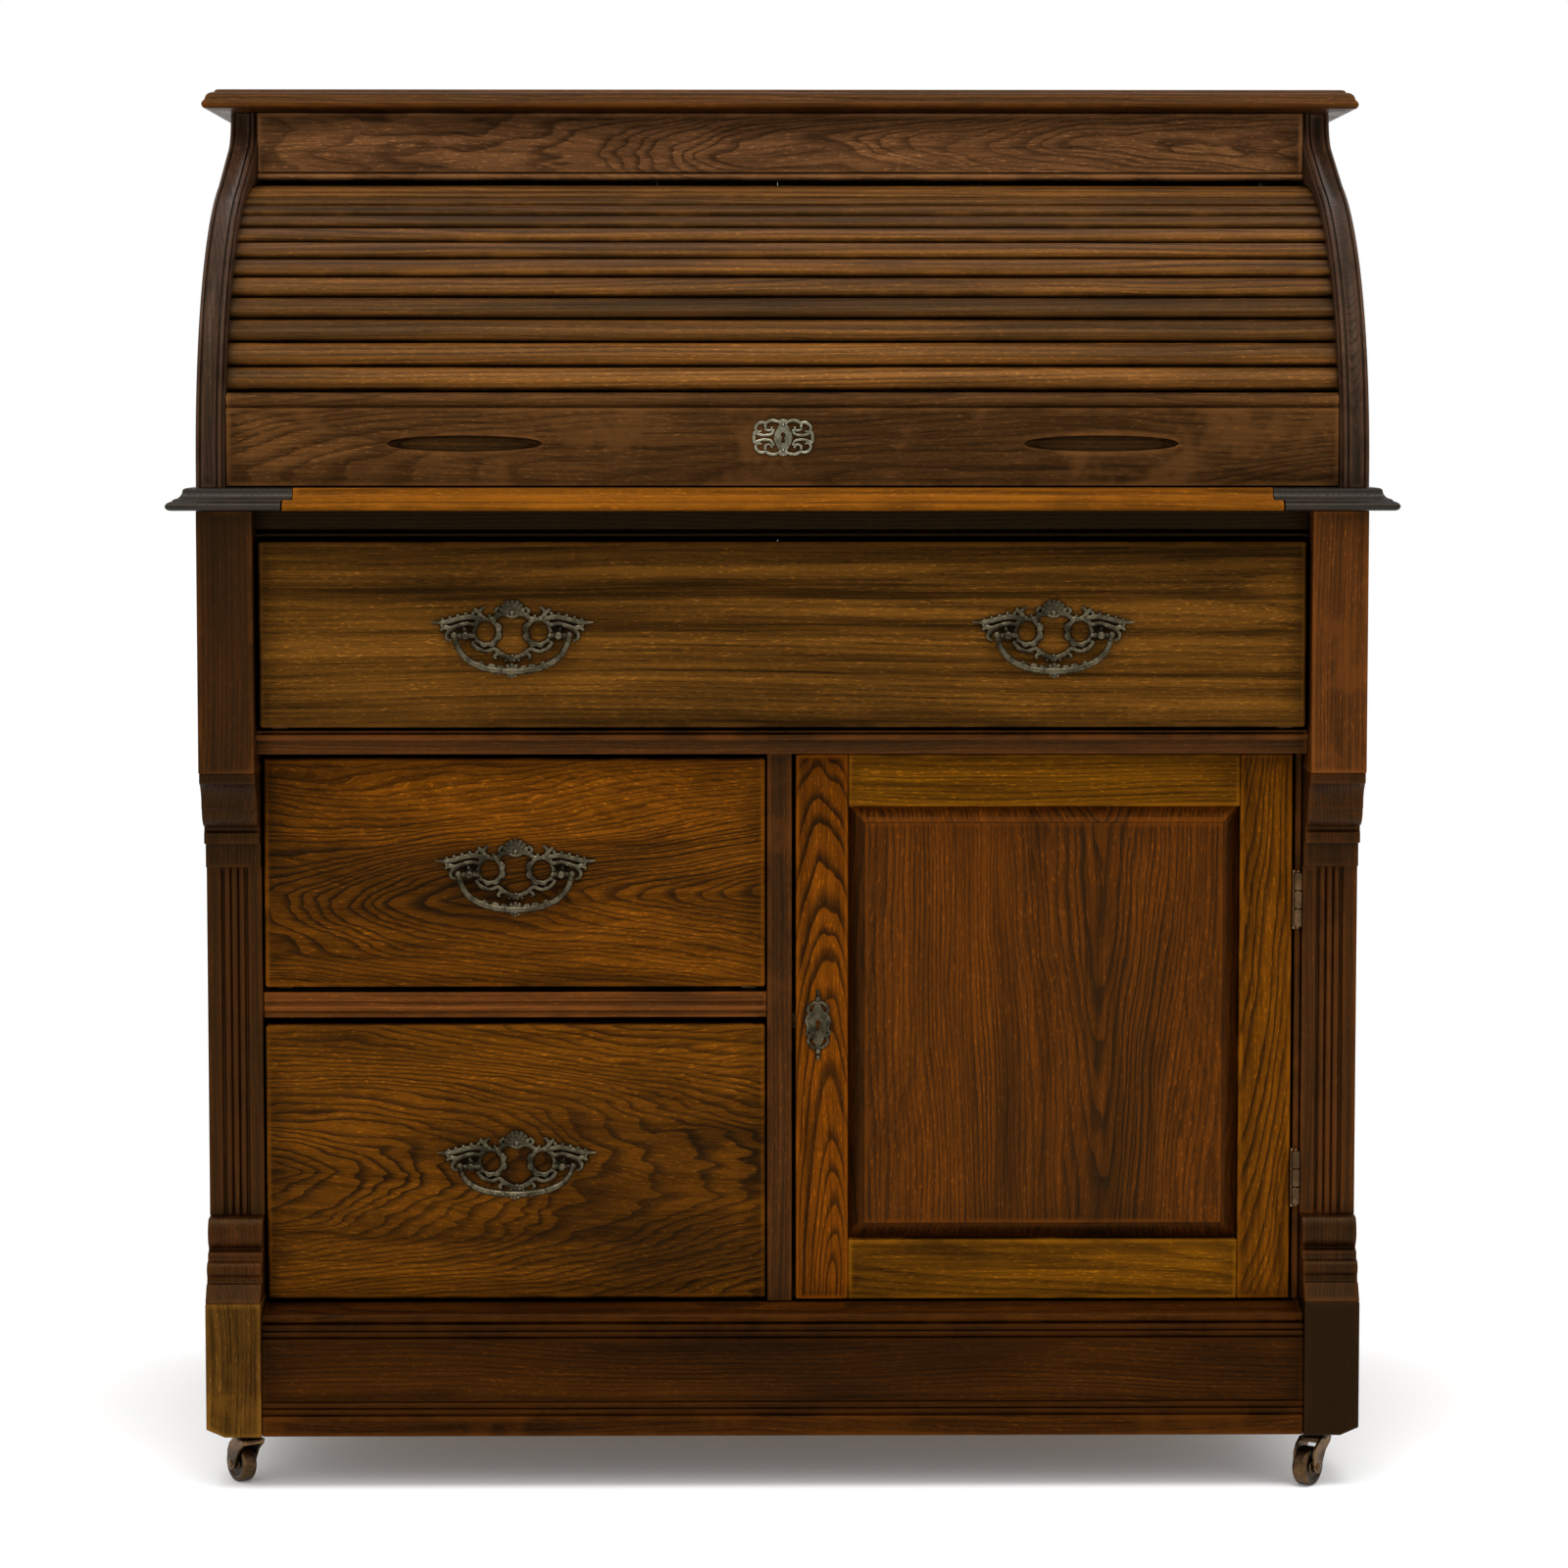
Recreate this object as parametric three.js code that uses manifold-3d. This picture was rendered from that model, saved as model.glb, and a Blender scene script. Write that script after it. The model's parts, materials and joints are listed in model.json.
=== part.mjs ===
// A small roll top desk on casters: a panelled carcass with three drawers and a cupboard, a
// pull-out writing slide, pigeonholes, and a tambour curtain on a circular track.
// Millimetres. +X right, -Y front, +Z up. The origin is on the floor, in the middle of the plan.
import * as THREE from "three";
import { mergeVertices } from "three/addons/utils/BufferGeometryUtils.js";
import Module from "manifold-3d";

const wasm = await Module();
wasm.setup();

// ---------------------------------------------------------------- driving dimensions
const GAP = 0.3; // between boards that meet
const HALF_WIDTH = 440; // over the posts
const BACK = 280; // rear edge of the top board and the desk ends

// Heights of the main levels
const FOOT_Z = 43; // under the posts, on top of the casters
const PLINTH_TOP_Z = 140;
const BASE_TOP_Z = 208; // top of the mouldings at the foot of each post
const CORBEL_Z = 477; // lowest step of the corbel
const BLOCK_Z = 552; // underside of the upper post block
const DESK_Z = 750; // underside of the desktop
const DESK_TOP_Z = 767;
const SIDE_TOP_Z = 1062; // underside of the top board
const TOP_Z = 1080;

// Front planes, back from the desk's front edge
const DESK_FRONT = -280;
const POST_FRONT = -258;
const FOOT_FRONT = -248;
const TOP_DRAWER_FRONT = -246;
const PILASTER_FRONT = -214; // also the door and the lower drawers
const POST_BACK = -190;
const REAR_POST_Y = 220;
const FRAME_BACK = 262;
const BACK_PANEL_Y = 250;

const POST_WIDTH = 42;
const POST_INNER = HALF_WIDTH - POST_WIDTH;
const SIDE_INNER = 420; // inner face of the side panels
const SIDE_OUTER = 436;
const PARTITION_X = [-12, 7];

// The tambour turns about this line, along X
const TRACK_Y = -23;
const TRACK_Z = 780;
const SIDE_RADIUS = 235; // front edge of the roll sides
const SLAT_RADIUS = 224; // crown of the slats
const CANVAS_RADIUS = 213; // back of the slats
const SLAT_PITCH_DEG = 5.24;
const SLAT_COUNT = 16;
const FIRST_SLAT_DEG = 15.6;
const ROLL_SIDE_INNER = 418;
const TRACK_DEPTH = 7.5;
const SLAT_END = 424.5;

// ---------------------------------------------------------------- materials
const paint = (color, roughness, metalness = 0) =>
  new THREE.MeshStandardMaterial({ color, roughness, metalness });
const FRONT_WOOD = paint(0x8a5422, 0.45);
const FRAME_WOOD = paint(0x4a2e1c, 0.45);
const DESK_WOOD = paint(0xa86a28, 0.4);
const END_WOOD = paint(0x3c2c20, 0.4);
const SLAT_WOOD = paint(0x7a5030, 0.45);
const FRIEZE_WOOD = paint(0x5a4034, 0.4);
const INNER_WOOD = paint(0xa98355, 0.7);
const BRASS = paint(0x8a7f62, 0.4, 1);
const WHEEL_METAL = paint(0x5a4a36, 0.45, 1);

// ---------------------------------------------------------------- solids
const UNIT_X = new THREE.Vector3(1, 0, 0);
const UNIT_Y = new THREE.Vector3(0, 1, 0);
const UNIT_Z = new THREE.Vector3(0, 0, 1);
const rad = THREE.MathUtils.degToRad;

// A closed geometry as a manifold solid.
function solid(geometry) {
  const bare = geometry.index ? geometry.toNonIndexed() : geometry.clone();
  bare.deleteAttribute("normal");
  bare.deleteAttribute("uv");
  const merged = mergeVertices(bare, 1e-3);
  const mesh = new wasm.Mesh({
    numProp: 3,
    vertProperties: merged.attributes.position.array,
    triVerts: new Uint32Array(merged.index.array),
  });
  return new wasm.Manifold(mesh);
}

// A manifold solid as a geometry that three.js can hold.
function geometryOf(manifold) {
  const mesh = manifold.getMesh();
  const geometry = new THREE.BufferGeometry();
  geometry.setAttribute("position", new THREE.BufferAttribute(mesh.vertProperties, 3));
  geometry.setIndex(new THREE.BufferAttribute(mesh.triVerts, 1));
  geometry.computeVertexNormals();
  return geometry;
}

const join = (...solids) => solids.reduce((all, next) => all.add(next));
const cut = (whole, ...tools) => tools.reduce((all, next) => all.subtract(next), whole);

// A box between two corners.
function box([x0, x1], [y0, y1], [z0, z1]) {
  const geometry = new THREE.BoxGeometry(x1 - x0, y1 - y0, z1 - z0);
  geometry.translate((x0 + x1) / 2, (y0 + y1) / 2, (z0 + z1) / 2);
  return solid(geometry);
}

function extruded(outline, depth) {
  const shape = new THREE.Shape(outline.map(([u, v]) => new THREE.Vector2(u, v)));
  return new THREE.ExtrudeGeometry(shape, { depth, bevelEnabled: false });
}

// An outline of [y, z] points, run along X.
function alongX(outline, [x0, x1]) {
  const geometry = extruded(outline, x1 - x0);
  geometry.applyMatrix4(new THREE.Matrix4().makeBasis(UNIT_Y, UNIT_Z, UNIT_X));
  return solid(geometry.translate(x0, 0, 0));
}

// An outline of [x, z] points, run along Y.
function alongY(outline, [y0, y1]) {
  const geometry = extruded(outline, y1 - y0);
  const toBack = UNIT_Y.clone().negate();
  geometry.applyMatrix4(new THREE.Matrix4().makeBasis(UNIT_X, UNIT_Z, toBack));
  return solid(geometry.translate(0, y1, 0));
}

// An outline of [x, y] points, run along Z.
const alongZ = (outline, [z0, z1]) => solid(extruded(outline, z1 - z0).translate(0, 0, z0));

// A round bar between two points.
function bar(from, to, radius, sides = 16) {
  const start = new THREE.Vector3(...from);
  const axis = new THREE.Vector3(...to).sub(start);
  const geometry = new THREE.CylinderGeometry(radius, radius, axis.length(), sides);
  geometry.translate(0, axis.length() / 2, 0);
  geometry.applyQuaternion(new THREE.Quaternion().setFromUnitVectors(UNIT_Y, axis.normalize()));
  return solid(geometry.translate(start.x, start.y, start.z));
}

// Points on an arc about [u, v], angles in degrees.
function arc([u, v], radius, fromDeg, toDeg, steps) {
  return Array.from({ length: steps + 1 }, (_, i) => {
    const angle = rad(fromDeg + ((toDeg - fromDeg) * i) / steps);
    return [u + radius * Math.cos(angle), v + radius * Math.sin(angle)];
  });
}

// The X range between two distances from the middle, on one side of it.
const span = (side, from, to) => [side * from, side * to].sort((a, b) => a - b);

const mirrorX = (outline) => outline.map(([x, v]) => [-x, v]);

// A track point as [y, z]: 0 degrees is straight ahead, 90 is overhead.
const trackPoint = (radius, deg) => [
  TRACK_Y - radius * Math.cos(rad(deg)),
  TRACK_Z + radius * Math.sin(rad(deg)),
];

// ---------------------------------------------------------------- the scene graph
const desk = new THREE.Group();
desk.name = "roll_top_desk";

function add(name, manifold, material, parent = desk) {
  const mesh = new THREE.Mesh(geometryOf(manifold), material);
  mesh.name = name;
  parent.add(mesh);
  return mesh;
}

// ---------------------------------------------------------------- posts
// The side view of a front post: foot block, base mouldings, pilaster, corbel and upper block.
const POST_OUTLINE = [
  [POST_BACK, FOOT_Z],
  [FOOT_FRONT, FOOT_Z],
  [FOOT_FRONT, 146],
  [-246, 147.5],
  [-239, 159.5],
  [-235, 160],
  [-235, 162],
  ...arc([-230, 169.5], 7, 230, 125, 5),
  [-229, 176.5],
  [-229, 181.5],
  [-225, 182.5],
  ...arc([-214, 196], 15, 234, 130, 7),
  [-217, BASE_TOP_Z],
  [PILASTER_FRONT, BASE_TOP_Z],
  [PILASTER_FRONT, CORBEL_Z],
  [-219, CORBEL_Z],
  [-219, 496],
  [-228, 496],
  [-228, 504.5],
  [-226, 505.5],
  ...arc([-226, 523], 14, 270, 180, 5),
  [-242, 523.5],
  ...arc([-262, 526], 20, 0, 66, 5),
  [-254, 546],
  [-254, BLOCK_Z],
  [POST_FRONT, BLOCK_Z],
  [POST_FRONT, DESK_Z - GAP],
  [POST_BACK, DESK_Z - GAP],
];

const REEDS = 3;
const REED_WIDTH = 4.8;
const REED_FIELD = 21; // width of the reeded strip in the middle of the post
const REED_DEPTH = 2.6;

// The hollow in front of the reeds, cut from the flat pilaster face.
function reedingCutter(middle) {
  const half = REED_FIELD / 2;
  const bottom = PILASTER_FRONT + REED_DEPTH;
  const reedPitch = REED_WIDTH + 0.8;
  const outline = [[-half, PILASTER_FRONT - 5], [-half, PILASTER_FRONT], [-half + 0.8, bottom]];
  for (let i = 0; i < REEDS; i++) {
    const centre = (i - (REEDS - 1) / 2) * reedPitch;
    outline.push(...arc([centre, bottom], REED_WIDTH / 2, 180, 360, 6));
  }
  outline.push([half - 0.8, bottom], [half, PILASTER_FRONT], [half, PILASTER_FRONT - 5]);
  const placed = outline.map(([x, y]) => [x + middle, y]);
  return alongZ(placed, [BASE_TOP_Z + 1, CORBEL_Z - 1]);
}

function frontPost(name, side) {
  const edges = span(side, POST_INNER, HALF_WIDTH);
  const post = alongX(POST_OUTLINE, edges);
  const outer = side * HALF_WIDTH;
  const corner = [[outer + side, FOOT_Z - 1], [outer + side, 49], [outer - side * 15, FOOT_Z - 1]];
  const footBevel = alongY(corner, [FOOT_FRONT - 1, POST_BACK + 1]);
  const middle = (side * (POST_INNER + HALF_WIDTH)) / 2;
  add(name, cut(post, footBevel, reedingCutter(middle)), FRAME_WOOD);
}

function rearPost(name, side) {
  const edges = span(side, POST_INNER, HALF_WIDTH);
  add(name, box(edges, [REAR_POST_Y, FRAME_BACK], [FOOT_Z, DESK_Z - GAP]), FRAME_WOOD);
}

frontPost("front_post_left", -1);
frontPost("front_post_right", 1);
rearPost("rear_post_left", -1);
rearPost("rear_post_right", 1);

// ---------------------------------------------------------------- carcass panels
const PANEL_LOW_Z = 58;
const SIDE_Y = [POST_BACK + GAP, REAR_POST_Y - GAP];
const SIDE_FRAME = 62; // width of the frame round the sunk panel
const SUNK_DEPTH = 7;
const FIELD_RISE = 4;

// A framed side: the panel is sunk, and its middle is raised again.
function sidePanel(name, side) {
  const faces = span(side, SIDE_INNER, SIDE_OUTER);
  const sunk = span(side, SIDE_OUTER - SUNK_DEPTH, SIDE_OUTER + 1);
  const field = span(side, SIDE_OUTER - SUNK_DEPTH - 1, SIDE_OUTER - SUNK_DEPTH + FIELD_RISE);
  const y = [SIDE_Y[0] + SIDE_FRAME, SIDE_Y[1] - SIDE_FRAME];
  const z = [PANEL_LOW_Z + 100, DESK_Z - 80];
  const inset = 28;
  const panel = cut(box(faces, SIDE_Y, [PANEL_LOW_Z, DESK_Z - GAP]), box(sunk, y, z));
  const raised = box(field, [y[0] + inset, y[1] - inset], [z[0] + inset, z[1] - inset]);
  add(name, join(panel, raised), FRAME_WOOD);
}

sidePanel("side_panel_left", -1);
sidePanel("side_panel_right", 1);

const REAR_INNER = POST_INNER - GAP;
const LOWER_BACK = box([-REAR_INNER, REAR_INNER], [BACK_PANEL_Y, FRAME_BACK], [PANEL_LOW_Z, DESK_Z - GAP]);
add("lower_back_panel", LOWER_BACK, INNER_WOOD);

// The plan of a board that fits between the posts and reaches the side panels behind them.
// With a right end given, it stops there instead.
function boardPlan(front, rightEnd) {
  const back = BACK_PANEL_Y - GAP;
  const atSide = (side) => [
    [side * REAR_INNER, front],
    [side * REAR_INNER, SIDE_Y[0]],
    [side * (SIDE_INNER - GAP), SIDE_Y[0]],
    [side * (SIDE_INNER - GAP), SIDE_Y[1]],
    [side * REAR_INNER, SIDE_Y[1]],
    [side * REAR_INNER, back],
  ];
  const right = rightEnd === undefined ? atSide(1) : [[rightEnd, front], [rightEnd, back]];
  return [...right, ...atSide(-1).reverse()];
}

// Plinth board between the feet, with two pairs of reeds and a stepped top moulding.
const PLINTH_REED = 5;
const reedPair = (y, z) => [0, 1].flatMap((i) => {
  const low = z + i * PLINTH_REED;
  return [[y, low + 0.2], ...arc([y, low + PLINTH_REED / 2], 2.3, 255, 105, 4), [y, low + 4.8]];
});
const PLINTH_OUTLINE = [
  [POST_BACK - 2, FOOT_Z],
  [-245, FOOT_Z],
  [-245, 58],
  ...reedPair(-242.5, 59),
  [-243.5, 70],
  [-243.5, 117],
  ...reedPair(-240.5, 118.5),
  [-238, 129.5],
  ...arc([-236, 132.5], 4, 230, 110, 4),
  [-227, 137.5],
  [-218, PLINTH_TOP_Z],
  [POST_BACK - 2, PLINTH_TOP_Z],
];
add("plinth", alongX(PLINTH_OUTLINE, [-REAR_INNER, REAR_INNER]), FRAME_WOOD);
const BOARD = 14;
const BOTTOM_BOARD = alongZ(boardPlan(POST_BACK), [PLINTH_TOP_Z - BOARD, PLINTH_TOP_Z]);
add("bottom_board", BOTTOM_BOARD, INNER_WOOD);

// ---------------------------------------------------------------- rails and divisions
// A dust board whose front edge is a moulded rail.
function railedBoard(name, edge, plan, levels, across, material) {
  const rail = alongX(edge, across);
  add(name, join(rail, alongZ(plan, levels)), material);
}

const TOP_RAIL_Z = [565, 583];
const TOP_RAIL_EDGE = [
  [-200, 565],
  [-236, 565],
  [-238, 568],
  [-238, 575],
  ...arc([-239, 578], 2.8, 250, 110, 4),
  [-237, 581],
  [-237, 583],
  [-200, 583],
];
const TOP_RAIL_ACROSS = [-REAR_INNER, REAR_INNER];
railedBoard("top_drawer_rail", TOP_RAIL_EDGE, boardPlan(-210), TOP_RAIL_Z, TOP_RAIL_ACROSS, FRAME_WOOD);

const LEFT_RAIL_Z = [360, 380];
const LEFT_RAIL_EDGE = [
  [-195, 360],
  [-207, 360],
  [-207, 364],
  ...arc([-207, 367], 2.6, 260, 100, 4),
  [-207, 371],
  [-209, 373],
  [-209, 380],
  [-195, 380],
];
const LEFT_BAY = [-REAR_INNER, PARTITION_X[0] - GAP];
const LEFT_PLAN = boardPlan(-200, LEFT_BAY[1]);
railedBoard("left_drawer_rail", LEFT_RAIL_EDGE, LEFT_PLAN, LEFT_RAIL_Z, LEFT_BAY, FRAME_WOOD);

const PARTITION_Z = [PLINTH_TOP_Z + GAP, TOP_RAIL_Z[0] - GAP];
const PARTITION = box(PARTITION_X, [PILASTER_FRONT, BACK_PANEL_Y - GAP], PARTITION_Z);
add("partition", PARTITION, FRAME_WOOD);

const SHELF_X = [PARTITION_X[1] + GAP, SIDE_INNER - GAP];
add("cupboard_shelf", box(SHELF_X, [-170, REAR_POST_Y - GAP], [345, 357]), INNER_WOOD);

const SLIDE_BED_EDGE = [
  [-200, 727.3],
  [-232, 727.3],
  ...arc([-233, 731], 2.5, 250, 110, 4),
  [-232, 735],
  [-232, DESK_Z - GAP],
  [-200, DESK_Z - GAP],
];
const SLIDE_BED_Z = [736, DESK_Z - GAP];
const BED_PLAN = boardPlan(-215);
railedBoard("under_desk_rail", SLIDE_BED_EDGE, BED_PLAN, SLIDE_BED_Z, TOP_RAIL_ACROSS, FRAME_WOOD);

// ---------------------------------------------------------------- desktop
// The moulded edge of the desktop as [distance in from the nose, height].
const DESK_EDGE = [
  [3.5, DESK_Z],
  [1.2, 750.8],
  [0, 753.5],
  [1.2, 756.4],
  [4.6, 757.6],
  [5.4, 758.6],
  [8.6, 760.4],
  [10.6, 763],
  [11.4, 765.6],
  [14, DESK_TOP_Z],
];
const SLIDE_TONGUE_Z = 758;
const CAP_INNER = 366.5;
const CAP_REBATE = 374.3;
const CAP_NOSE = 460;

// An end board: the front and outer edges carry the same moulding, mitred at the corner.
function deskCap(name, side) {
  const frontEdge = DESK_EDGE.map(([d, z]) => [DESK_FRONT + d, z]);
  const outerEdge = DESK_EDGE.map(([d, z]) => [CAP_NOSE - d, z]);
  const sideView = [...frontEdge, [BACK, DESK_TOP_Z], [BACK, DESK_Z]];
  const frontView = [
    ...outerEdge,
    [CAP_INNER, DESK_TOP_Z],
    [CAP_INNER, SLIDE_TONGUE_Z + GAP],
    [CAP_REBATE, SLIDE_TONGUE_Z + GAP],
    [CAP_REBATE, DESK_Z],
  ];
  const across = span(side, CAP_INNER, CAP_NOSE);
  const board = alongY(side > 0 ? frontView : mirrorX(frontView), [DESK_FRONT, BACK]);
  add(name, board.intersect(alongX(sideView, across)), END_WOOD);
}

deskCap("desk_cap_left", -1);
deskCap("desk_cap_right", 1);

const SLIDE_HALF = 366;
const TONGUE_HALF = 373;
const SLIDE_BACK = 60;

function writingSlide() {
  const frontEdge = DESK_EDGE.map(([d, z]) => [DESK_FRONT + d, z]);
  const sideView = [...frontEdge, [SLIDE_BACK, DESK_TOP_Z], [SLIDE_BACK, DESK_Z]];
  const board = alongX(sideView, [-TONGUE_HALF, TONGUE_HALF]);
  const rebates = [-1, 1].map((side) => {
    const across = span(side, SLIDE_HALF, TONGUE_HALF + 1);
    return box(across, [DESK_FRONT - 1, SLIDE_BACK + 1], [SLIDE_TONGUE_Z, DESK_TOP_Z + 1]);
  });
  return cut(board, ...rebates);
}
add("writing_slide", writingSlide(), DESK_WOOD);

// The fixed board under the pigeonholes, and the part of it that fills in behind the slide.
const FLOOR_Z = [DESK_TOP_Z + GAP, DESK_TOP_Z + 10];
const FLOOR_FRONT = -228;
const FLOOR_HALF = ROLL_SIDE_INNER - GAP;
const DESK_FLOOR = join(
  box([-FLOOR_HALF, FLOOR_HALF], [FLOOR_FRONT, FRAME_BACK - GAP], FLOOR_Z),
  box([1 - CAP_INNER, CAP_INNER - 1], [SLIDE_BACK + 10, BACK], [DESK_Z, FLOOR_Z[0] + 1]),
);
add("desk_floor", DESK_FLOOR, INNER_WOOD);

// ---------------------------------------------------------------- upper case
const SIDE_Z = DESK_TOP_Z + GAP;
const CROWN_Y = -22; // front edge of a roll side where it meets the top board

// The front edge of a roll side, from the desktop up: a circle, a ramp, then a hollow curve.
function rollEdge(inset = 0) {
  const circle = arc([TRACK_Y, TRACK_Z], SIDE_RADIUS - inset, 180, 110, 14);
  const hollow = arc([CROWN_Y - 30 + inset, 1060], 30, -62, 0, 5);
  return [[POST_FRONT + inset, SIDE_Z], ...circle, ...hollow];
}

function rollSide(name, side) {
  const outline = [
    ...rollEdge(),
    [CROWN_Y, SIDE_TOP_Z - GAP],
    [FRAME_BACK, SIDE_TOP_Z - GAP],
    [FRAME_BACK, SIDE_Z],
  ];
  const faces = span(side, ROLL_SIDE_INNER, HALF_WIDTH);
  const grooves = [[8, 17], [19, 20.4], [3.2, 4.4]].map(([from, to]) => {
    const across = span(side, HALF_WIDTH - from, HALF_WIDTH - to);
    const outside = arc([TRACK_Y, TRACK_Z], SIDE_RADIUS + 20, 110, 180, 10);
    const strip = [...rollEdge(2.4), [CROWN_Y + 2.4, SIDE_TOP_Z], [CROWN_Y - 45, SIDE_TOP_Z]];
    return alongX([...strip, ...outside, [POST_FRONT - 20, SIDE_Z]], across);
  });
  const track = [
    ...arc([TRACK_Y, TRACK_Z], SLAT_RADIUS + 1.2, 186, 12, 36),
    ...arc([TRACK_Y, TRACK_Z], CANVAS_RADIUS - 0.8, 12, 186, 36),
  ];
  const trackDepth = span(side, ROLL_SIDE_INNER - 1, ROLL_SIDE_INNER + TRACK_DEPTH);
  add(name, cut(alongX(outline, faces), ...grooves, alongX(track, trackDepth)), END_WOOD);
}

rollSide("roll_side_left", -1);
rollSide("roll_side_right", 1);

const INSIDE = [GAP - ROLL_SIDE_INNER, ROLL_SIDE_INNER - GAP];
const FRIEZE_Y = [-28, -8];
const FRIEZE_Z = [1008, SIDE_TOP_Z - GAP];
const FRIEZE_OUTLINE = [
  [FRIEZE_Y[1], FRIEZE_Z[0]],
  [FRIEZE_Y[0], FRIEZE_Z[0]],
  ...arc([-29, 1010.8], 2.6, 250, 110, 4),
  [FRIEZE_Y[0] + 1.5, 1014],
  [FRIEZE_Y[0], 1015],
  [FRIEZE_Y[0], FRIEZE_Z[1]],
  [FRIEZE_Y[1], FRIEZE_Z[1]],
];
add("frieze_board", alongX(FRIEZE_OUTLINE, INSIDE), FRIEZE_WOOD);
const UPPER_BACK = box(INSIDE, [BACK_PANEL_Y, FRAME_BACK - GAP], [FLOOR_Z[1] + GAP, SIDE_TOP_Z - GAP]);
add("upper_back_panel", UPPER_BACK, INNER_WOOD);

// The moulded edge of the top board as [distance in from the nose, height].
const TOP_EDGE = [
  [24, SIDE_TOP_Z],
  [10, 1063.4],
  [2.4, 1065.6],
  [0, 1068.4],
  [1.6, 1071],
  [5.6, 1073.6],
  [8.8, 1076.4],
  [10, 1079],
  [12, TOP_Z],
];
const TOP_FRONT = -47;

function topBoard() {
  const right = TOP_EDGE.map(([d, z]) => [CAP_NOSE - d, z]);
  const left = mirrorX(right).reverse();
  const front = TOP_EDGE.map(([d, z]) => [TOP_FRONT + d, z]);
  const frontView = alongY([...right, ...left], [TOP_FRONT, BACK]);
  const sideView = alongX([...front, [BACK, TOP_Z], [BACK, SIDE_TOP_Z]], [-CAP_NOSE, CAP_NOSE]);
  return frontView.intersect(sideView);
}
add("top_board", topBoard(), FRAME_WOOD);

// Pigeonholes: an open-fronted case whose height and depth stay inside the curtain's circle.
const GALLERY_HALF = 411;
const GALLERY_Y = [-10, 130];
const GALLERY_Z = [FLOOR_Z[1] + GAP, 917];
const GALLERY_WALL = 8;
const CUBBY_HALF = 92; // the middle compartment
const TRAY_TOP_Z = 832; // top of the low compartments at the sides
const HOLES_PER_SIDE = 3;

function gallery() {
  const low = GALLERY_Z[0] + GALLERY_WALL;
  const high = GALLERY_Z[1] - GALLERY_WALL;
  const inner = GALLERY_HALF - GALLERY_WALL;
  const depth = [GALLERY_Y[0] - 1, GALLERY_Y[1] - 6];
  const cells = [box([-CUBBY_HALF, CUBBY_HALF], depth, [low, high])];
  const start = CUBBY_HALF + GALLERY_WALL;
  const cell = (inner - start - (HOLES_PER_SIDE - 1) * GALLERY_WALL) / HOLES_PER_SIDE;
  for (const side of [-1, 1]) {
    cells.push(box(span(side, start, inner), depth, [low, TRAY_TOP_Z]));
    for (let i = 0; i < HOLES_PER_SIDE; i++) {
      const from = start + i * (cell + GALLERY_WALL);
      cells.push(box(span(side, from, from + cell), depth, [TRAY_TOP_Z + GALLERY_WALL, high]));
    }
  }
  return cut(box([-GALLERY_HALF, GALLERY_HALF], GALLERY_Y, GALLERY_Z), ...cells);
}
add("gallery", gallery(), INNER_WOOD);

// ---------------------------------------------------------------- tambour
// The slats' outer faces in one pitch: [share of the pitch, radius].
const SLAT_SECTION = [
  [0.03, 218.5],
  [0.07, 222.4],
  [0.2, 223.8],
  [0.45, SLAT_RADIUS],
  [0.75, 223.2],
  [0.93, 221],
  [0.98, 218.5],
];

function curtain() {
  const outer = [];
  for (let i = 0; i < SLAT_COUNT; i++) {
    for (const [share, radius] of SLAT_SECTION) {
      outer.push(trackPoint(radius, FIRST_SLAT_DEG + (i + share) * SLAT_PITCH_DEG));
    }
  }
  const reachDeg = SLAT_COUNT * SLAT_PITCH_DEG;
  const inner = Array.from({ length: SLAT_COUNT + 1 }, (_, i) =>
    trackPoint(CANVAS_RADIUS + GAP, FIRST_SLAT_DEG + reachDeg * (1 - i / SLAT_COUNT)),
  );
  return alongX([...outer, ...inner], [-SLAT_END, SLAT_END]);
}
add("tambour_curtain", curtain(), SLAT_WOOD);

const RAIL_FRONT = -251;
const RAIL_Z = [768.5, 838];
const RAIL_HALF = ROLL_SIDE_INNER - 0.7;
const SLOT_CENTRE = [239, 800];
const SLOT_HALF = [59, 6];

// The bottom bar of the curtain, with two finger slots and a tenon that follows the track.
function liftRail() {
  const body = alongX(
    [
      [-235.5, RAIL_Z[0]],
      [RAIL_FRONT, RAIL_Z[0]],
      [RAIL_FRONT, 826],
      [RAIL_FRONT + 2.5, 827],
      ...arc([-247, 832.2], 4.6, 235, 90, 5),
      [-245, RAIL_Z[1]],
      [-235.5, RAIL_Z[1]],
    ],
    [-RAIL_HALF, RAIL_HALF],
  );
  const tenonDegs = [-1, 1.8, 4.6, 7.4, 10.2, 13];
  const tenonOutline = [
    ...tenonDegs.map((deg) => trackPoint(SLAT_RADIUS - 0.4, deg)),
    ...tenonDegs.reverse().map((deg) => trackPoint(CANVAS_RADIUS + 0.4, deg)),
  ];
  const slots = [-1, 1].map((side) => {
    const [x, z] = [side * SLOT_CENTRE[0], SLOT_CENTRE[1]];
    const [a, b] = SLOT_HALF;
    const shoulder = a - 9;
    const upper = [[x - a, z], [x - shoulder, z + b], [x + shoulder, z + b]];
    const lower = [[x + a, z], [x + shoulder, z - b], [x - shoulder, z - b]];
    return alongY([...upper, ...lower], [RAIL_FRONT - 1, RAIL_FRONT + 7]);
  });
  return cut(join(body, alongX(tenonOutline, [-SLAT_END, SLAT_END])), ...slots);
}
add("lift_rail", liftRail(), SLAT_WOOD);

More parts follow.
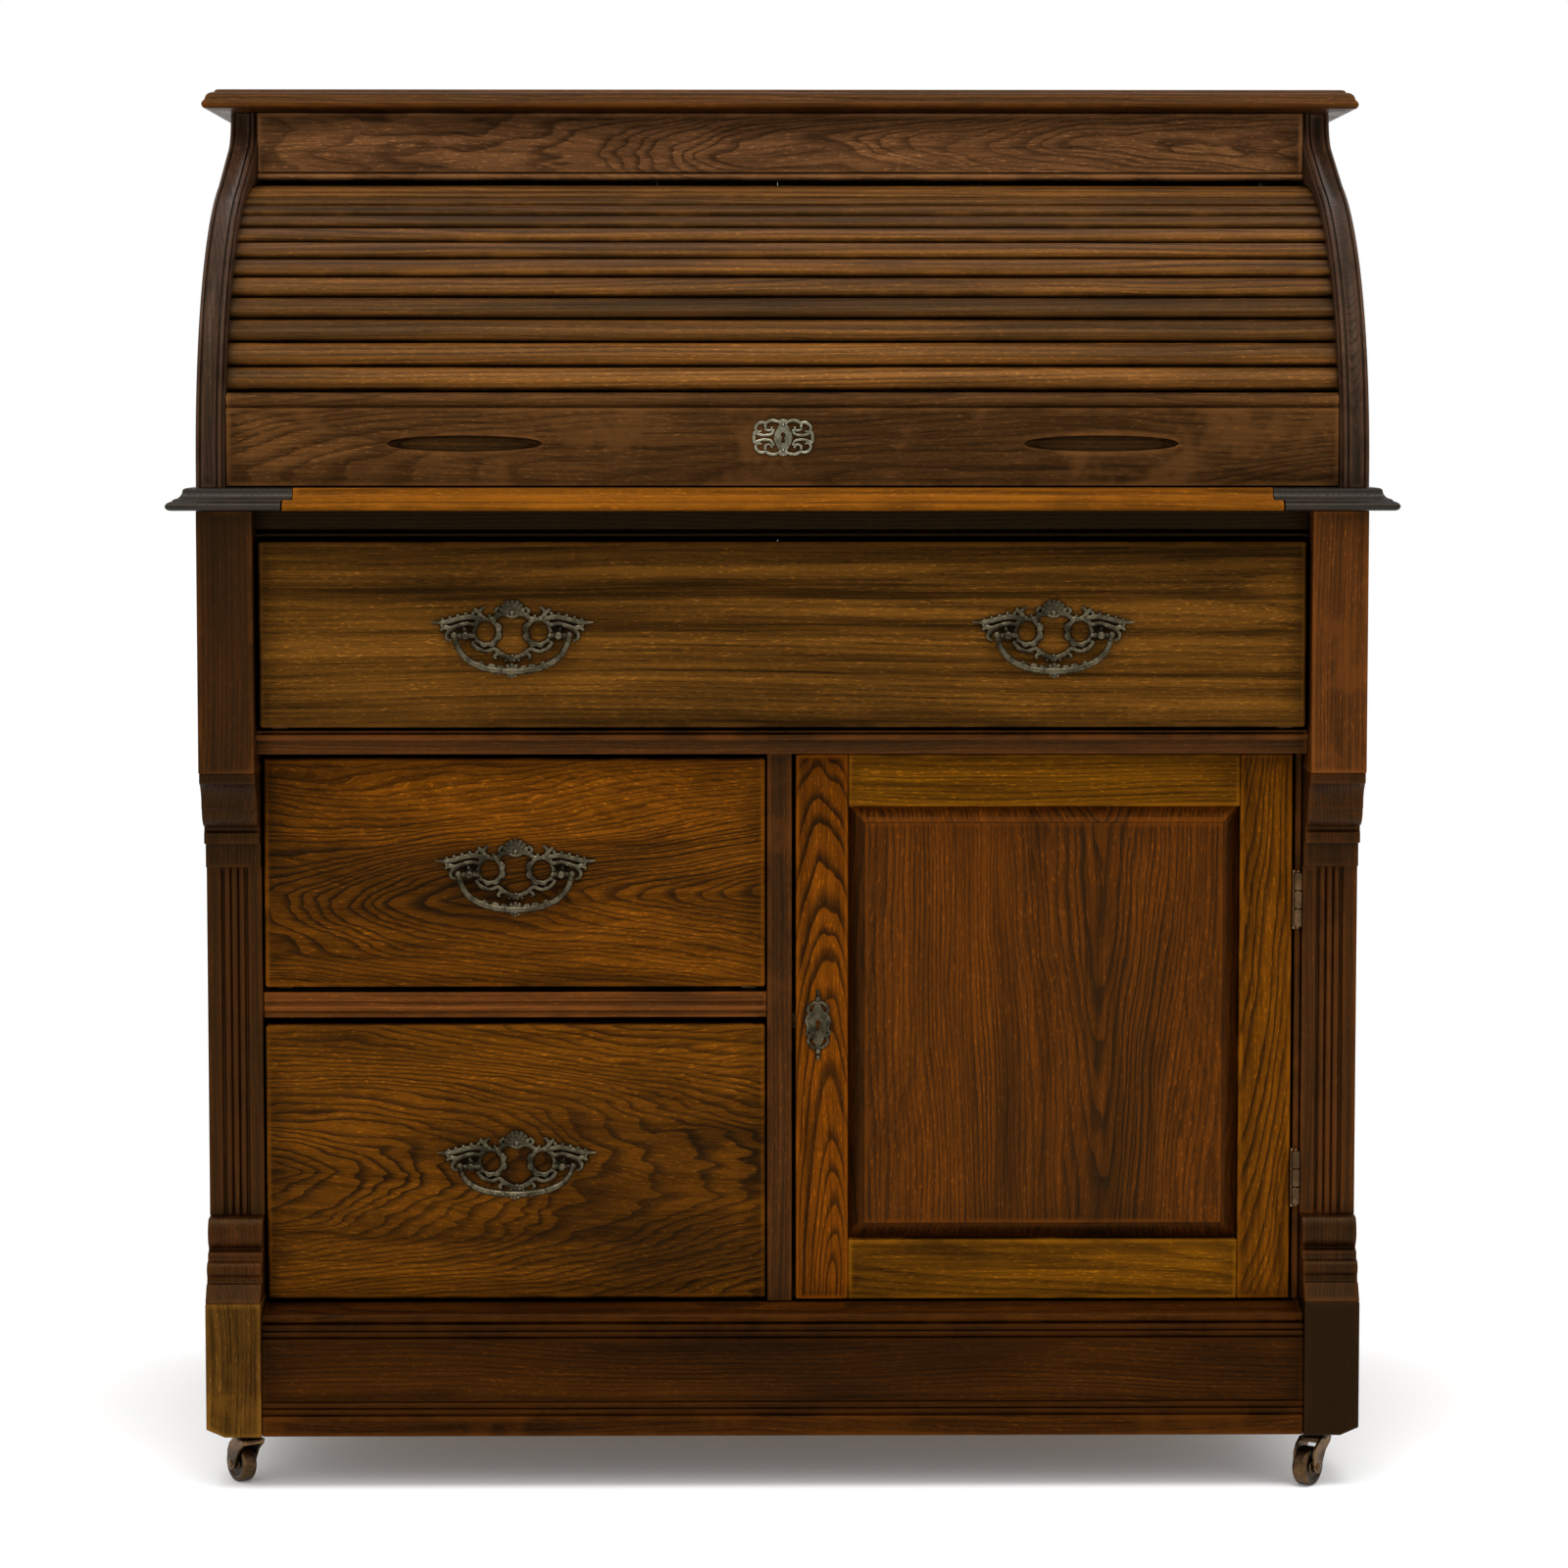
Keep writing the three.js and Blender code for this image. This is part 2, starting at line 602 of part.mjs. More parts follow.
// A keyhole: a round eye over a tapering slot.
function keyhole([x, z], size, y) {
  const eye = bar([x, y[0], z + size], [x, y[1], z + size], size, 12);
  const right = [[x + size * 0.55, z + size * 0.5], [x + size * 0.8, z - size * 2]];
  const left = [[x - size * 0.8, z - size * 2], [x - size * 0.55, z + size * 0.5]];
  return join(eye, alongY([...right, ...left], y));
}

// An oval outline whose radius swells and pinches, for cast plates.
function cartouche([x, z], [halfWidth, halfHeight], lobes, swell, steps) {
  return Array.from({ length: steps }, (_, i) => {
    const angle = (2 * Math.PI * i) / steps;
    const radius = 1 - swell + swell * Math.cos(lobes * angle);
    return [x + halfWidth * radius * Math.cos(angle), z + halfHeight * radius * Math.sin(angle)];
  });
}

const PLATE = 1.6;
function escutcheon(name, centre, halfSize, face, keySize) {
  const y = [face - GAP - PLATE, face - GAP];
  const plate = alongY(cartouche(centre, halfSize, 4, 0.06, 32), y);
  add(name, cut(plate, keyhole(centre, keySize, [y[0] - 1, y[1] + 1])), BRASS);
}
escutcheon("tambour_escutcheon", [0, 804.5], [22.5, 14], RAIL_FRONT, 2);

// ---------------------------------------------------------------- drawers
const FRONT_BOARD = 20;
const BOX_WALL = 12;
const BOTTOM_BOARD_THICKNESS = 6;

// A front with eased edges, an open box behind it, and a bottom let in between the box's walls.
function drawer(name, [x0, x1], [z0, z1], face, boxX, boxZ, boxBack) {
  const ease = 3;
  const behind = face + FRONT_BOARD;
  const fullView = alongX(
    [[behind, z0], [face + ease, z0], [face, z0 + ease], [face, z1 - ease], [face + ease, z1], [behind, z1]],
    [x0, x1],
  );
  const planLeft = [[x0, behind], [x0, face + ease], [x0 + ease, face]];
  const plan = [...planLeft, [x1 - ease, face], [x1, face + ease], [x1, behind]];
  add(name + "_front", fullView.intersect(alongZ(plan, [z0 - 1, z1 + 1])), FRONT_WOOD);

  const length = [behind + GAP, boxBack];
  const hollowX = [boxX[0] + BOX_WALL, boxX[1] - BOX_WALL];
  const hollow = box(hollowX, [length[0] - 1, boxBack - BOX_WALL], [boxZ[0] - 1, boxZ[1] + 1]);
  add(name + "_box", cut(box(boxX, length, boxZ), hollow), INNER_WOOD);

  const bottomX = [hollowX[0] + GAP, hollowX[1] - GAP];
  const bottomZ = [boxZ[0] + 5, boxZ[0] + 5 + BOTTOM_BOARD_THICKNESS];
  add(name + "_bottom", box(bottomX, [length[0], boxBack - BOX_WALL - GAP], bottomZ), INNER_WOOD);
}

const BOX_BACK = 200;
const TOP_DRAWER_X = [-395, 395];
const LEFT_DRAWER_X = [-396, -13.5];
const LEFT_BOX_X = [-389, -20];
drawer("top_drawer", TOP_DRAWER_X, [586, 726], TOP_DRAWER_FRONT, [-388, 388], [583.5, 712], BOX_BACK);
drawer("upper_left_drawer", LEFT_DRAWER_X, [384.5, 560], PILASTER_FRONT, LEFT_BOX_X, [380.5, 540], BOX_BACK);
drawer("lower_left_drawer", LEFT_DRAWER_X, [143, 355], PILASTER_FRONT, LEFT_BOX_X, [140.5, 330], BOX_BACK);

// ---------------------------------------------------------------- drawer pulls
const POST_HALF = 35; // half of the spacing of the two posts that a bail turns in
const ARM_HALF = 42.5; // the bail's arms hang outside the posts
const BAIL_PROUD = 9; // pivot line in front of the drawer's face
const BAIL_DROP = 31;
const BAIL_RADIUS = 2.6;
const PIN_RADIUS = 1.8;
const BORE_RADIUS = 2.2;

// The right half of a pull plate from the shell at its top to the tie at its foot, as [x, z]
// from the middle of the pivot line.
const PLATE_RIGHT = [
  [0, 27.5],
  [6, 25.5],
  [10, 19],
  [14, 15.5],
  [20, 20],
  [26, 20],
  [37, 11.5],
  [46, 13],
  [61, 8],
  [52, 1],
  [47, -5],
  [36, -4],
  [29, -7],
  [20, -13],
  [11, -13],
  [7, -18],
  [0, -20],
];
const HOURGLASS = [[-7, 14], [7, 14], [4.5, 3], [7, -8.5], [0, -12], [-7, -8.5], [-4.5, 3]];
const LOOP_CENTRE = [20.5, 3];
const LOOP_RADIUS = 7.5;

// A pierced plate with two posts, each bored along X for one end of the bail.
function pullPlate(name, [x, z], face) {
  const y = [-GAP - PLATE, -GAP];
  const through = [y[0] - 1, y[1] + 1];
  const outline = [...PLATE_RIGHT, ...mirrorX(PLATE_RIGHT.slice(1, -1)).reverse()];
  let plate = cut(alongY(outline, y), alongY(HOURGLASS, through));
  for (const side of [-1, 1]) {
    const loop = arc([side * LOOP_CENTRE[0], LOOP_CENTRE[1]], LOOP_RADIUS, 0, 345, 23);
    const post = bar([side * POST_HALF, y[1], 0], [side * POST_HALF, -BAIL_PROUD - 4, 0], 4.2, 14);
    const bore = [-6, 6].map((step) => [side * POST_HALF + step, -BAIL_PROUD, 0]);
    plate = cut(join(cut(plate, alongY(loop, through)), post), bar(...bore, BORE_RADIUS, 12));
  }
  add(name, plate, BRASS).position.set(x, face, z);
}

// The bow of a bail, hanging below the pivot line.
class BailCurve extends THREE.Curve {
  getPoint(t, target = new THREE.Vector3()) {
    const angle = Math.PI * (1 + t);
    return target.set(ARM_HALF * Math.cos(angle), 0, BAIL_DROP * Math.sin(angle));
  }
}

// A drooping bow of round bar whose two ends turn inwards through the posts.
function bail(name, [x, z], face, raisedDeg) {
  const round = arc([0, 0], BAIL_RADIUS, 0, 315, 7).map(([u, v]) => new THREE.Vector2(u, v));
  const options = { steps: 20, extrudePath: new BailCurve(), bevelEnabled: false };
  const bow = solid(new THREE.ExtrudeGeometry(new THREE.Shape(round), options));
  const pins = [-1, 1].map((side) =>
    bar([side * (ARM_HALF + 1), 0, 0], [side * (POST_HALF - 6), 0, 0], PIN_RADIUS, 10),
  );
  const mesh = add(name, join(bow, ...pins), BRASS);
  mesh.position.set(x, face - BAIL_PROUD, z);
  mesh.rotation.x = -rad(raisedDeg);
}

// Each pull: its place, its pivot line and how far its bail stands up at rest.
const PULLS = [
  ["top_left", [-204, 656], TOP_DRAWER_FRONT, 0],
  ["top_right", [204, 656], TOP_DRAWER_FRONT, 0],
  ["upper", [-204, 472], PILASTER_FRONT, 0],
  ["lower", [-204, 247], PILASTER_FRONT, 50],
];
for (const [place, centre, face, raisedDeg] of PULLS) {
  pullPlate("pull_plate_" + place, centre, face);
  bail("pull_bail_" + place, centre, face, raisedDeg);
}

// ---------------------------------------------------------------- door
const DOOR_X = [10, 390];
const DOOR_Z = [142, 563];
const DOOR_Y = [PILASTER_FRONT, PILASTER_FRONT + 20];
const STILE = 40; // also the height of the top rail
const DOOR_BOTTOM_RAIL = 46;
const HINGE_AXIS = [394, -217.5];

add("door_stile_lock", box([DOOR_X[0], DOOR_X[0] + STILE], DOOR_Y, DOOR_Z), FRONT_WOOD);
add("door_stile_hinge", box([DOOR_X[1] - STILE, DOOR_X[1]], DOOR_Y, DOOR_Z), FRONT_WOOD);
const BETWEEN_STILES = [DOOR_X[0] + STILE + GAP, DOOR_X[1] - STILE - GAP];
add("door_rail_top", box(BETWEEN_STILES, DOOR_Y, [DOOR_Z[1] - STILE, DOOR_Z[1]]), FRONT_WOOD);
const DOOR_FOOT = [DOOR_Z[0], DOOR_Z[0] + DOOR_BOTTOM_RAIL];
add("door_rail_bottom", box(BETWEEN_STILES, DOOR_Y, DOOR_FOOT), FRONT_WOOD);

// A fielded panel: a flat middle with a sloping border down to a thin edge.
function doorPanel() {
  const [x0, x1] = BETWEEN_STILES;
  const [z0, z1] = [DOOR_Z[0] + DOOR_BOTTOM_RAIL + GAP, DOOR_Z[1] - STILE - GAP];
  const slope = 12; // width of the sloping border
  const [front, edge, back] = [DOOR_Y[0] + 2, DOOR_Y[0] + 9, DOOR_Y[1] - 4];
  const lower = [[back, z0], [edge, z0], [front, z0 + slope]];
  const upper = [[front, z1 - slope], [edge, z1], [back, z1]];
  const left = [[x0, back], [x0, edge], [x0 + slope, front]];
  const right = [[x1 - slope, front], [x1, edge], [x1, back]];
  return alongX([...lower, ...upper], [x0, x1]).intersect(alongZ([...left, ...right], [z0, z1]));
}
add("door_panel", doorPanel(), FRONT_WOOD);
escutcheon("door_escutcheon", [27, 355], [9.5, 27.5], PILASTER_FRONT, 2);

// A butt hinge: the knuckle, and the leaf on the door's edge.
function doorHinge(name, [z0, z1]) {
  const [x, y] = HINGE_AXIS;
  const knuckle = bar([x, y, z0], [x, y, z1], 3.4, 14);
  const leaf = box([DOOR_X[1] + GAP, DOOR_X[1] + 1.9], [y, DOOR_Y[1] - 3], [z0, z1]);
  add(name, join(knuckle, leaf), BRASS);
}
doorHinge("door_hinge_upper", [429, 474]);
doorHinge("door_hinge_lower", [214, 259]);

// ---------------------------------------------------------------- casters
const WHEEL_RADIUS = 15;
const WHEEL_HALF = 6;
const TRAIL = 12;

// Each caster is built with its wheel trailing along +X, then turned about its stem.
function caster(place, x, y, turnDeg) {
  const group = new THREE.Group();
  group.position.set(x, y, 0);
  group.rotation.z = rad(turnDeg);
  desk.add(group);
  const cheek = [
    [-8, 36],
    [8, 36],
    [17, 29],
    ...arc([TRAIL, WHEEL_RADIUS], 5, 30, -120, 6),
    [-3, 30],
  ];
  const slot = box([-40, 40], [-WHEEL_HALF - 0.8, WHEEL_HALF + 0.8], [0, 31.5]);
  const yoke = cut(alongY(cheek, [-10, 10]), slot);
  const plate = bar([0, 0, 39.7], [0, 0, FOOT_Z - GAP], 14, 20);
  const neck = bar([0, 0, 34], [0, 0, 40], 7, 16);
  const axle = bar([TRAIL, -11, WHEEL_RADIUS], [TRAIL, 11, WHEEL_RADIUS], 2.4, 12);
  add("caster_fork_" + place, join(yoke, plate, neck, axle), WHEEL_METAL, group);
  const profile = [
    [2.8, -WHEEL_HALF],
    [WHEEL_RADIUS - 2, -WHEEL_HALF],
    [WHEEL_RADIUS, -WHEEL_HALF + 2],
    [WHEEL_RADIUS, WHEEL_HALF - 2],
    [WHEEL_RADIUS - 2, WHEEL_HALF],
    [2.8, WHEEL_HALF],
    [2.8, -WHEEL_HALF],
  ].map(([r, v]) => new THREE.Vector2(r, v));
  const tread = new THREE.LatheGeometry(profile, 28);
  const wheel = add("caster_wheel_" + place, solid(tread), WHEEL_METAL, group);
  wheel.position.set(TRAIL, 0, WHEEL_RADIUS);
}

const CASTER_X = 411;
const CASTER_FRONT_Y = -219;
const CASTER_REAR_Y = 240;
caster("front_left", -CASTER_X, CASTER_FRONT_Y, 125);
caster("front_right", CASTER_X, CASTER_FRONT_Y, 233);
caster("rear_left", -CASTER_X, CASTER_REAR_Y, 140);
caster("rear_right", CASTER_X, CASTER_REAR_Y, 160);

export default desk;
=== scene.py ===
import json
import random
from math import atan2, cos, hypot, pi, radians, sin

import bmesh
import bpy
from mathutils import Matrix, Vector, noise


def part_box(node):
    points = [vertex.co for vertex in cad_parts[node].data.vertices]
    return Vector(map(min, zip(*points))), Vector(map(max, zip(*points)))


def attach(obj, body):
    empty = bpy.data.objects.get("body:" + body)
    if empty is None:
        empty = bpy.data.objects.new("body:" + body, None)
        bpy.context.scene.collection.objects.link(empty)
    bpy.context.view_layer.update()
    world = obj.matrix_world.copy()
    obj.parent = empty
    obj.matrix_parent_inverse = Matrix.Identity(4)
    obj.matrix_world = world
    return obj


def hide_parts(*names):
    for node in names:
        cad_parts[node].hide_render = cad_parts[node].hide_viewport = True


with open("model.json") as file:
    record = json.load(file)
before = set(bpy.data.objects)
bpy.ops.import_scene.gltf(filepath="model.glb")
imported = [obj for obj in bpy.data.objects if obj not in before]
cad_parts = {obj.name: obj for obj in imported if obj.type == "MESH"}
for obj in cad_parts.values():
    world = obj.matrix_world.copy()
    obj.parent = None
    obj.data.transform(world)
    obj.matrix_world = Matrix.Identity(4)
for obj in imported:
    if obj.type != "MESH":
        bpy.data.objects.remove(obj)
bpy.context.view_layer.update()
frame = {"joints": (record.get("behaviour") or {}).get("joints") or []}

MM = 0.001  # every shape below is written in millimetres
GAP = 0.3
JOINT_AT = {j["name"]: Vector(j["pos_m"]) / MM for j in frame["joints"] if j.get("pos_m")}
TRACK = JOINT_AT["tambour_roll"]


def extent(node):
    """Lowest and highest corner of a CAD node, in millimetres."""
    low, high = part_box(node)
    return low / MM, high / MM


def spans(node):
    """What a CAD node spans along x, y and z, in millimetres."""
    return tuple(zip(*extent(node)))


# ---------------------------------------------------------------- camera, light and floor
def camera():
    data = bpy.data.cameras.new("camera")
    data.lens = 95.9
    data.sensor_width = 36.0
    data.shift_y = -0.05
    data.clip_end = 50.0
    eye = bpy.data.objects.new("camera", data)
    bpy.context.scene.collection.objects.link(eye)
    eye.location = (-0.0293, -3.391, 0.823)
    eye.rotation_euler = (radians(90 - 4.01), 0.0, radians(-0.546))
    bpy.context.scene.camera = eye


def area_light(name, place, target, size, power):
    data = bpy.data.lights.new(name, "AREA")
    data.shape = "RECTANGLE"
    data.size, data.size_y = size
    data.energy = power
    lamp = bpy.data.objects.new(name, data)
    bpy.context.scene.collection.objects.link(lamp)
    lamp.location = place
    lamp.rotation_euler = (Vector(target) - Vector(place)).to_track_quat("-Z", "Y").to_euler()


def studio():
    scene = bpy.context.scene
    scene.view_settings.view_transform = "Standard"
    scene.view_settings.look = "None"
    world = bpy.data.worlds.new("studio")
    world.use_nodes = True
    scene.world = world
    background = world.node_tree.nodes["Background"]
    background.inputs["Color"].default_value = (1.0, 1.0, 1.0, 1.0)
    background.inputs["Strength"].default_value = 1.0
    middle = (0.0, 0.0, 0.55)
    area_light("key", (-1.8, -2.6, 2.4), middle, (1.8, 1.4), 9)
    area_light("fill", (2.6, -1.8, 1.8), middle, (1.2, 1.8), 8)
    area_light("top", (0.0, -1.5, 3.3), middle, (2.6, 1.2), 60)
    bpy.ops.mesh.primitive_circle_add(vertices=96, radius=25.0, fill_type="NGON")
    floor = bpy.context.object
    floor.name = "floor"
    material, _, shader = new_material("floor")
    white = (1.0, 1.0, 1.0, 1.0)
    for key, value in (
        ("Base Color", white), ("Roughness", 0.8), ("Specular IOR Level", 0.0),
        ("Emission Color", white), ("Emission Strength", 0.07),
    ):
        shader.inputs[key].default_value = value
    floor.data.materials.append(material)


# ---------------------------------------------------------------- outlines and solids
def arc(centre, radius, start, end, steps):
    """Points on an arc, angles in degrees. radius is one number or one for each axis."""
    ru, rv = radius if isinstance(radius, tuple) else (radius, radius)
    angles = [radians(start + (end - start) * i / steps) for i in range(steps + 1)]
    return [(centre[0] + ru * cos(a), centre[1] + rv * sin(a)) for a in angles]


def circle(radius, steps):
    return arc((0, 0), radius, 0, 360 - 360 / steps, steps - 1)


PLACE = {
    "x": lambda u, v, w: (w, u, v),
    "y": lambda u, v, w: (u, w, v),
    "z": lambda u, v, w: (u, v, w),
}


def loft(rings):
    """A closed solid through rings of points, all with the same number of points."""
    count, last = len(rings[0]), len(rings) - 1
    verts = [point for ring in rings for point in ring]
    faces = [tuple(range(count)), tuple(range(last * count, (last + 1) * count))]
    for k in range(last):
        for i in range(count):
            j = (i + 1) % count
            faces.append((k * count + i, k * count + j, (k + 1) * count + j, (k + 1) * count + i))
    return verts, faces


def prism(outline, axis, start, end, cuts=1):
    """An outline run along an axis: (y, z) along x, (x, z) along y, or (x, y) along z."""
    places = [start + (end - start) * k / cuts for k in range(cuts + 1)]
    return loft([[PLACE[axis](u, v, w) for u, v in outline] for w in places])


def stack(levels, axis):
    """A solid of rectangles (u0, u1, v0, v1, w) one behind another along an axis."""
    rings = []
    for u0, u1, v0, v1, w in levels:
        rings.append([PLACE[axis](u, v, w) for u, v in ((u0, v0), (u1, v0), (u1, v1), (u0, v1))])
    return loft(rings)


def block(x, y, z):
    return stack([(*x, *y, z[0]), (*x, *y, z[1])], "z")


def moulded(x, y, profile, left, right):
    """A board whose front, and sides if asked for, carry a profile of (distance in, height)."""
    return stack([(x[0] + d * left, x[1] - d * right, y[0] + d, y[1], z) for d, z in profile], "z")


def turned(profile, centre, steps=32, axis="y"):
    """A closed solid of revolution from (radius, along) points, about a line along an axis."""
    rings = []
    for radius, along in profile:
        ring = [PLACE[axis](u, v, along) for u, v in circle(max(radius, 0.02), steps)]
        rings.append([tuple(c + p for c, p in zip(centre, point)) for point in ring])
    return loft(rings)


def smooth_path(points, between):
    """A Catmull-Rom curve through the points. Each point is a tuple of any length."""
    path = []
    for i in range(len(points) - 1):
        p = [points[max(i - 1, 0)], points[i], points[i + 1], points[min(i + 2, len(points) - 1)]]
        for k in range(between):
            t = k / between
            path.append(tuple(
                0.5 * (2 * b + (c - a) * t + (2 * a - 5 * b + 4 * c - d) * t * t
                       + (3 * b - a - 3 * c + d) * t ** 3)
                for a, b, c, d in zip(*p)
            ))
    return path + [tuple(points[-1])]


def tube(points, sides=10, flat=1.0):
    """A closed tube along (x, y, z, radius) points. flat squeezes it along Y."""
    rings = []
    centres = [Vector(p[:3]) for p in points]
    for i, centre in enumerate(centres):
        ahead = centres[min(i + 1, len(points) - 1)] - centres[max(i - 1, 0)]
        ahead = ahead.normalized() if ahead.length > 1e-9 else Vector((1, 0, 0))
        side = ahead.cross(Vector((0, 1, 0)))
        side = side.normalized() if side.length > 1e-3 else Vector((0, 0, 1))
        up = side.cross(ahead).normalized()
        radius = points[i][3]
        rings.append([tuple(centre + (side * u + up * v) * radius) for u, v in circle((1, flat), sides)])
    return loft(rings)


def ball(centre, radius, squeeze=(1, 1, 1)):
    verts, faces = turned(arc((0, 0), radius, -85, 85, 8), (0, 0, 0), 12)
    return [tuple(c + v * s for c, v, s in zip(centre, vert, squeeze)) for vert in verts], faces


def together(*parts):
    verts, faces = [], []
    for part_verts, part_faces in parts:
        base = len(verts)
        verts += part_verts
        faces += [tuple(i + base for i in face) for face in part_faces]
    return verts, faces


def mirrored(part, signs=(-1, 1, 1)):
    """A part turned over in x, or in the axes whose sign is -1."""
    verts, faces = part
    return [tuple(v * s for v, s in zip(vert, signs)) for vert in verts], faces


# ---------------------------------------------------------------- pieces
WOODS = {}  # name: the material, and the slot its boards usually take


def new_mesh(name, part):
    verts, faces = part
    mesh = bpy.data.meshes.new(name)
    mesh.from_pydata([Vector(v) * MM for v in verts], [], faces)
    work = bmesh.new()
    work.from_mesh(mesh)
    bmesh.ops.recalc_face_normals(work, faces=work.faces)
    work.to_mesh(mesh)
    work.free()
    return mesh


def new_object(name, mesh):
    piece = bpy.data.objects.new(name, mesh)
    bpy.context.scene.collection.objects.link(piece)
    return piece


def solid(name, part):
    return new_object(name, new_mesh(name, part))


def mark_board(piece, tone, shift):
    """Gives the wood material the board's middle and half size, its tone and its own figure."""
    mesh, count = piece.data, len(piece.data.vertices)
    low = Vector(min(v.co[i] for v in mesh.vertices) for i in range(3))
    high = Vector(max(v.co[i] for v in mesh.vertices) for i in range(3))
    half = (high - low) / 2
    thin = min(range(3), key=lambda i: half[i])
    half[thin] = 1.0
    for name, value in (("board_middle", (low + high) / 2), ("board_half", half), ("board_shift", shift)):
        layer = mesh.attributes.new(name, "FLOAT_VECTOR", "POINT")
        layer.data.foreach_set("vector", list(value) * count)
    layer = mesh.attributes.new("board_tone", "FLOAT", "POINT")
    layer.data.foreach_set("value", [tone] * count)


def finish(piece, material, body, slot, nodes=(), bevel=0.0, angle=35, segments=2):
    """Material, rounded edges, shading, and the body that the piece rides on."""
    mesh = piece.data
    mesh.materials.append(material)
    mesh.shade_smooth()
    mesh.set_sharp_from_angle(angle=radians(angle))
    if bevel:
        soften = piece.modifiers.new("edges", "BEVEL")
        soften.width = bevel * MM
        soften.segments = segments
        soften.limit_method = "ANGLE"
        soften.angle_limit = radians(angle)
        soften.miter_outer = "MITER_ARC"
        weigh = piece.modifiers.new("normals", "WEIGHTED_NORMAL")
        weigh.keep_sharp = True
    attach(piece, body)
    if nodes:
        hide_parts(*nodes)
    return piece


def board(name, part, grain, node=None, body="root", slot=None, bevel=1.0, tone=0.0, shift=None, **options):
    """A piece of one of the WOODS, in place of a CAD node. Without a shift, its name picks
    where in the tree it was cut."""
    piece = solid(name, part)
    if shift is None:
        pick = random.Random(name)
        shift = [pick.uniform(-0.6, 0.6) for _ in range(3)]
        shift = [shift[0], shift[1] * 0.05, shift[2] * 0.6]
    mark_board(piece, tone, shift)
    material, usual_slot = WOODS[grain]
    return finish(piece, material, body, slot or usual_slot, [node] if node else [], bevel, **options)


def whole_board(node, grain, **options):
    """A plain board that fills its CAD node."""
    return board(node + "_wood", block(*spans(node)), grain, node, **options)


# ---------------------------------------------------------------- materials
class Tree:
    """Short names for adding shader nodes."""

    def __init__(self, tree):
        self.tree = tree

    def node(self, kind, **settings):
        node = self.tree.nodes.new("ShaderNode" + kind)
        for key, value in settings.items():
            setattr(node, key, value)
        return node

    def add(self, kind, *inputs, out=0, **settings):
        node = self.node(kind, **settings)
        for index, value in enumerate(inputs):
            self.feed(node.inputs[index], value)
        return node.outputs[out]

    def feed(self, socket, value):
        if isinstance(value, bpy.types.NodeSocket):
            self.tree.links.new(value, socket)
        elif value is not None:
            socket.default_value = value

    def math(self, operation, *inputs):
        return self.add("Math", *inputs, operation=operation)

    def times(self, a, b, plus=None):
        """a * b, or a * b + plus."""
        return self.math("MULTIPLY", a, b) if plus is None else self.math("MULTIPLY_ADD", a, b, plus)

    def vector(self, operation, *inputs):
        return self.add("VectorMath", *inputs, operation=operation)

    def scaled(self, vector, factor):
        return self.vector("SCALE", vector, None, None, factor)

    def noise(self, vector, scale, detail=2.0, roughness=0.5, out=0):
        return self.add("TexNoise", vector, None, scale, detail, roughness, out=out)

    def drawn(self, grain, along, across, detail=2.0, roughness=0.5, out=0):
        """Noise drawn out along the grain."""
        stretched = self.vector("MULTIPLY", grain, (along, across, across))
        return self.noise(stretched, 1.0, detail, roughness, out)

    def mix(self, factor, a, b):
        node = self.node("Mix", data_type="RGBA")
        for index, value in ((0, factor), (6, a), (7, b)):
            self.feed(node.inputs[index], value)
        return node.outputs[2]

    def step(self, value, low, high, start=0.0, end=1.0):
        return self.add("MapRange", value, low, high, start, end, interpolation_type="SMOOTHSTEP")

    def split(self, vector):
        node = self.node("SeparateXYZ")
        self.feed(node.inputs[0], vector)
        return node.outputs

    def attribute(self, name, out=1):
        return self.node("Attribute", attribute_name=name).outputs[out]

    def occlusion(self, distance, **settings):
        node = self.node("AmbientOcclusion", samples=6, **settings)
        node.inputs["Distance"].default_value = distance
        return node.outputs["AO"]

    def here(self):
        """Object coordinates, in metres."""
        return self.add("TexCoord", out=3)


def colour(r, g, b):
    return (r, g, b, 1.0)


BLACK_LINE = (0.007, 0.003, 0.001)
FIGURE_INPUTS = [
    ("Grain", "Vector", None),
    ("Rings", "Float", 260.0),
    ("Tilt", "Float", 0.02),
    ("Wave", "Float", 0.005),
    ("Lines", "Float", 0.6),
    ("Pores", "Float", 0.5),
    ("Clouds", "Float", 0.8),
    ("Grime", "Float", 0.6),
    ("Streaks", "Float", 0.5),
    ("Hollows", "Float", 1.0),
    ("Light", "Color", colour(0.3, 0.12, 0.03)),
    ("Deep", "Color", colour(0.12, 0.045, 0.012)),
    ("Line", "Color", colour(*BLACK_LINE)),
]


def growth(t, given, grain):
    """The grain bent by slow and quick waves, and the dark early part of each year's ring."""
    def wander(along, across, detail, reach):
        off = t.vector("SUBTRACT", t.drawn(grain, along, across, detail, out=1), (0.5, 0.5, 0.5))
        return t.scaled(off, t.times(given["Wave"], reach))

    bent = t.vector("ADD", grain, t.vector("ADD", wander(2.2, 7.0, 1.5, 5.0), wander(14.0, 60.0, 2.0, 0.45)))
    along, across, deep = t.split(bent)
    deep = t.times(along, given["Tilt"], deep)
    radius = t.math("SQRT", t.times(across, across, t.times(deep, deep)))
    years = t.times(radius, given["Rings"])
    uneven = t.noise(t.add("CombineXYZ", t.times(years, 0.35), 0.0, 0.0), 1.0, 1.0)
    year = t.math("FRACT", t.times(uneven, 2.6, years))
    early = t.times(t.step(year, 0.0, 0.08), t.step(year, 0.1, 0.62, 1.0, 0.0))
    strength = t.step(t.drawn(grain, 3.0, 14.0), 0.3, 0.7, 0.6, 1.15)
    return bent, t.times(early, strength)


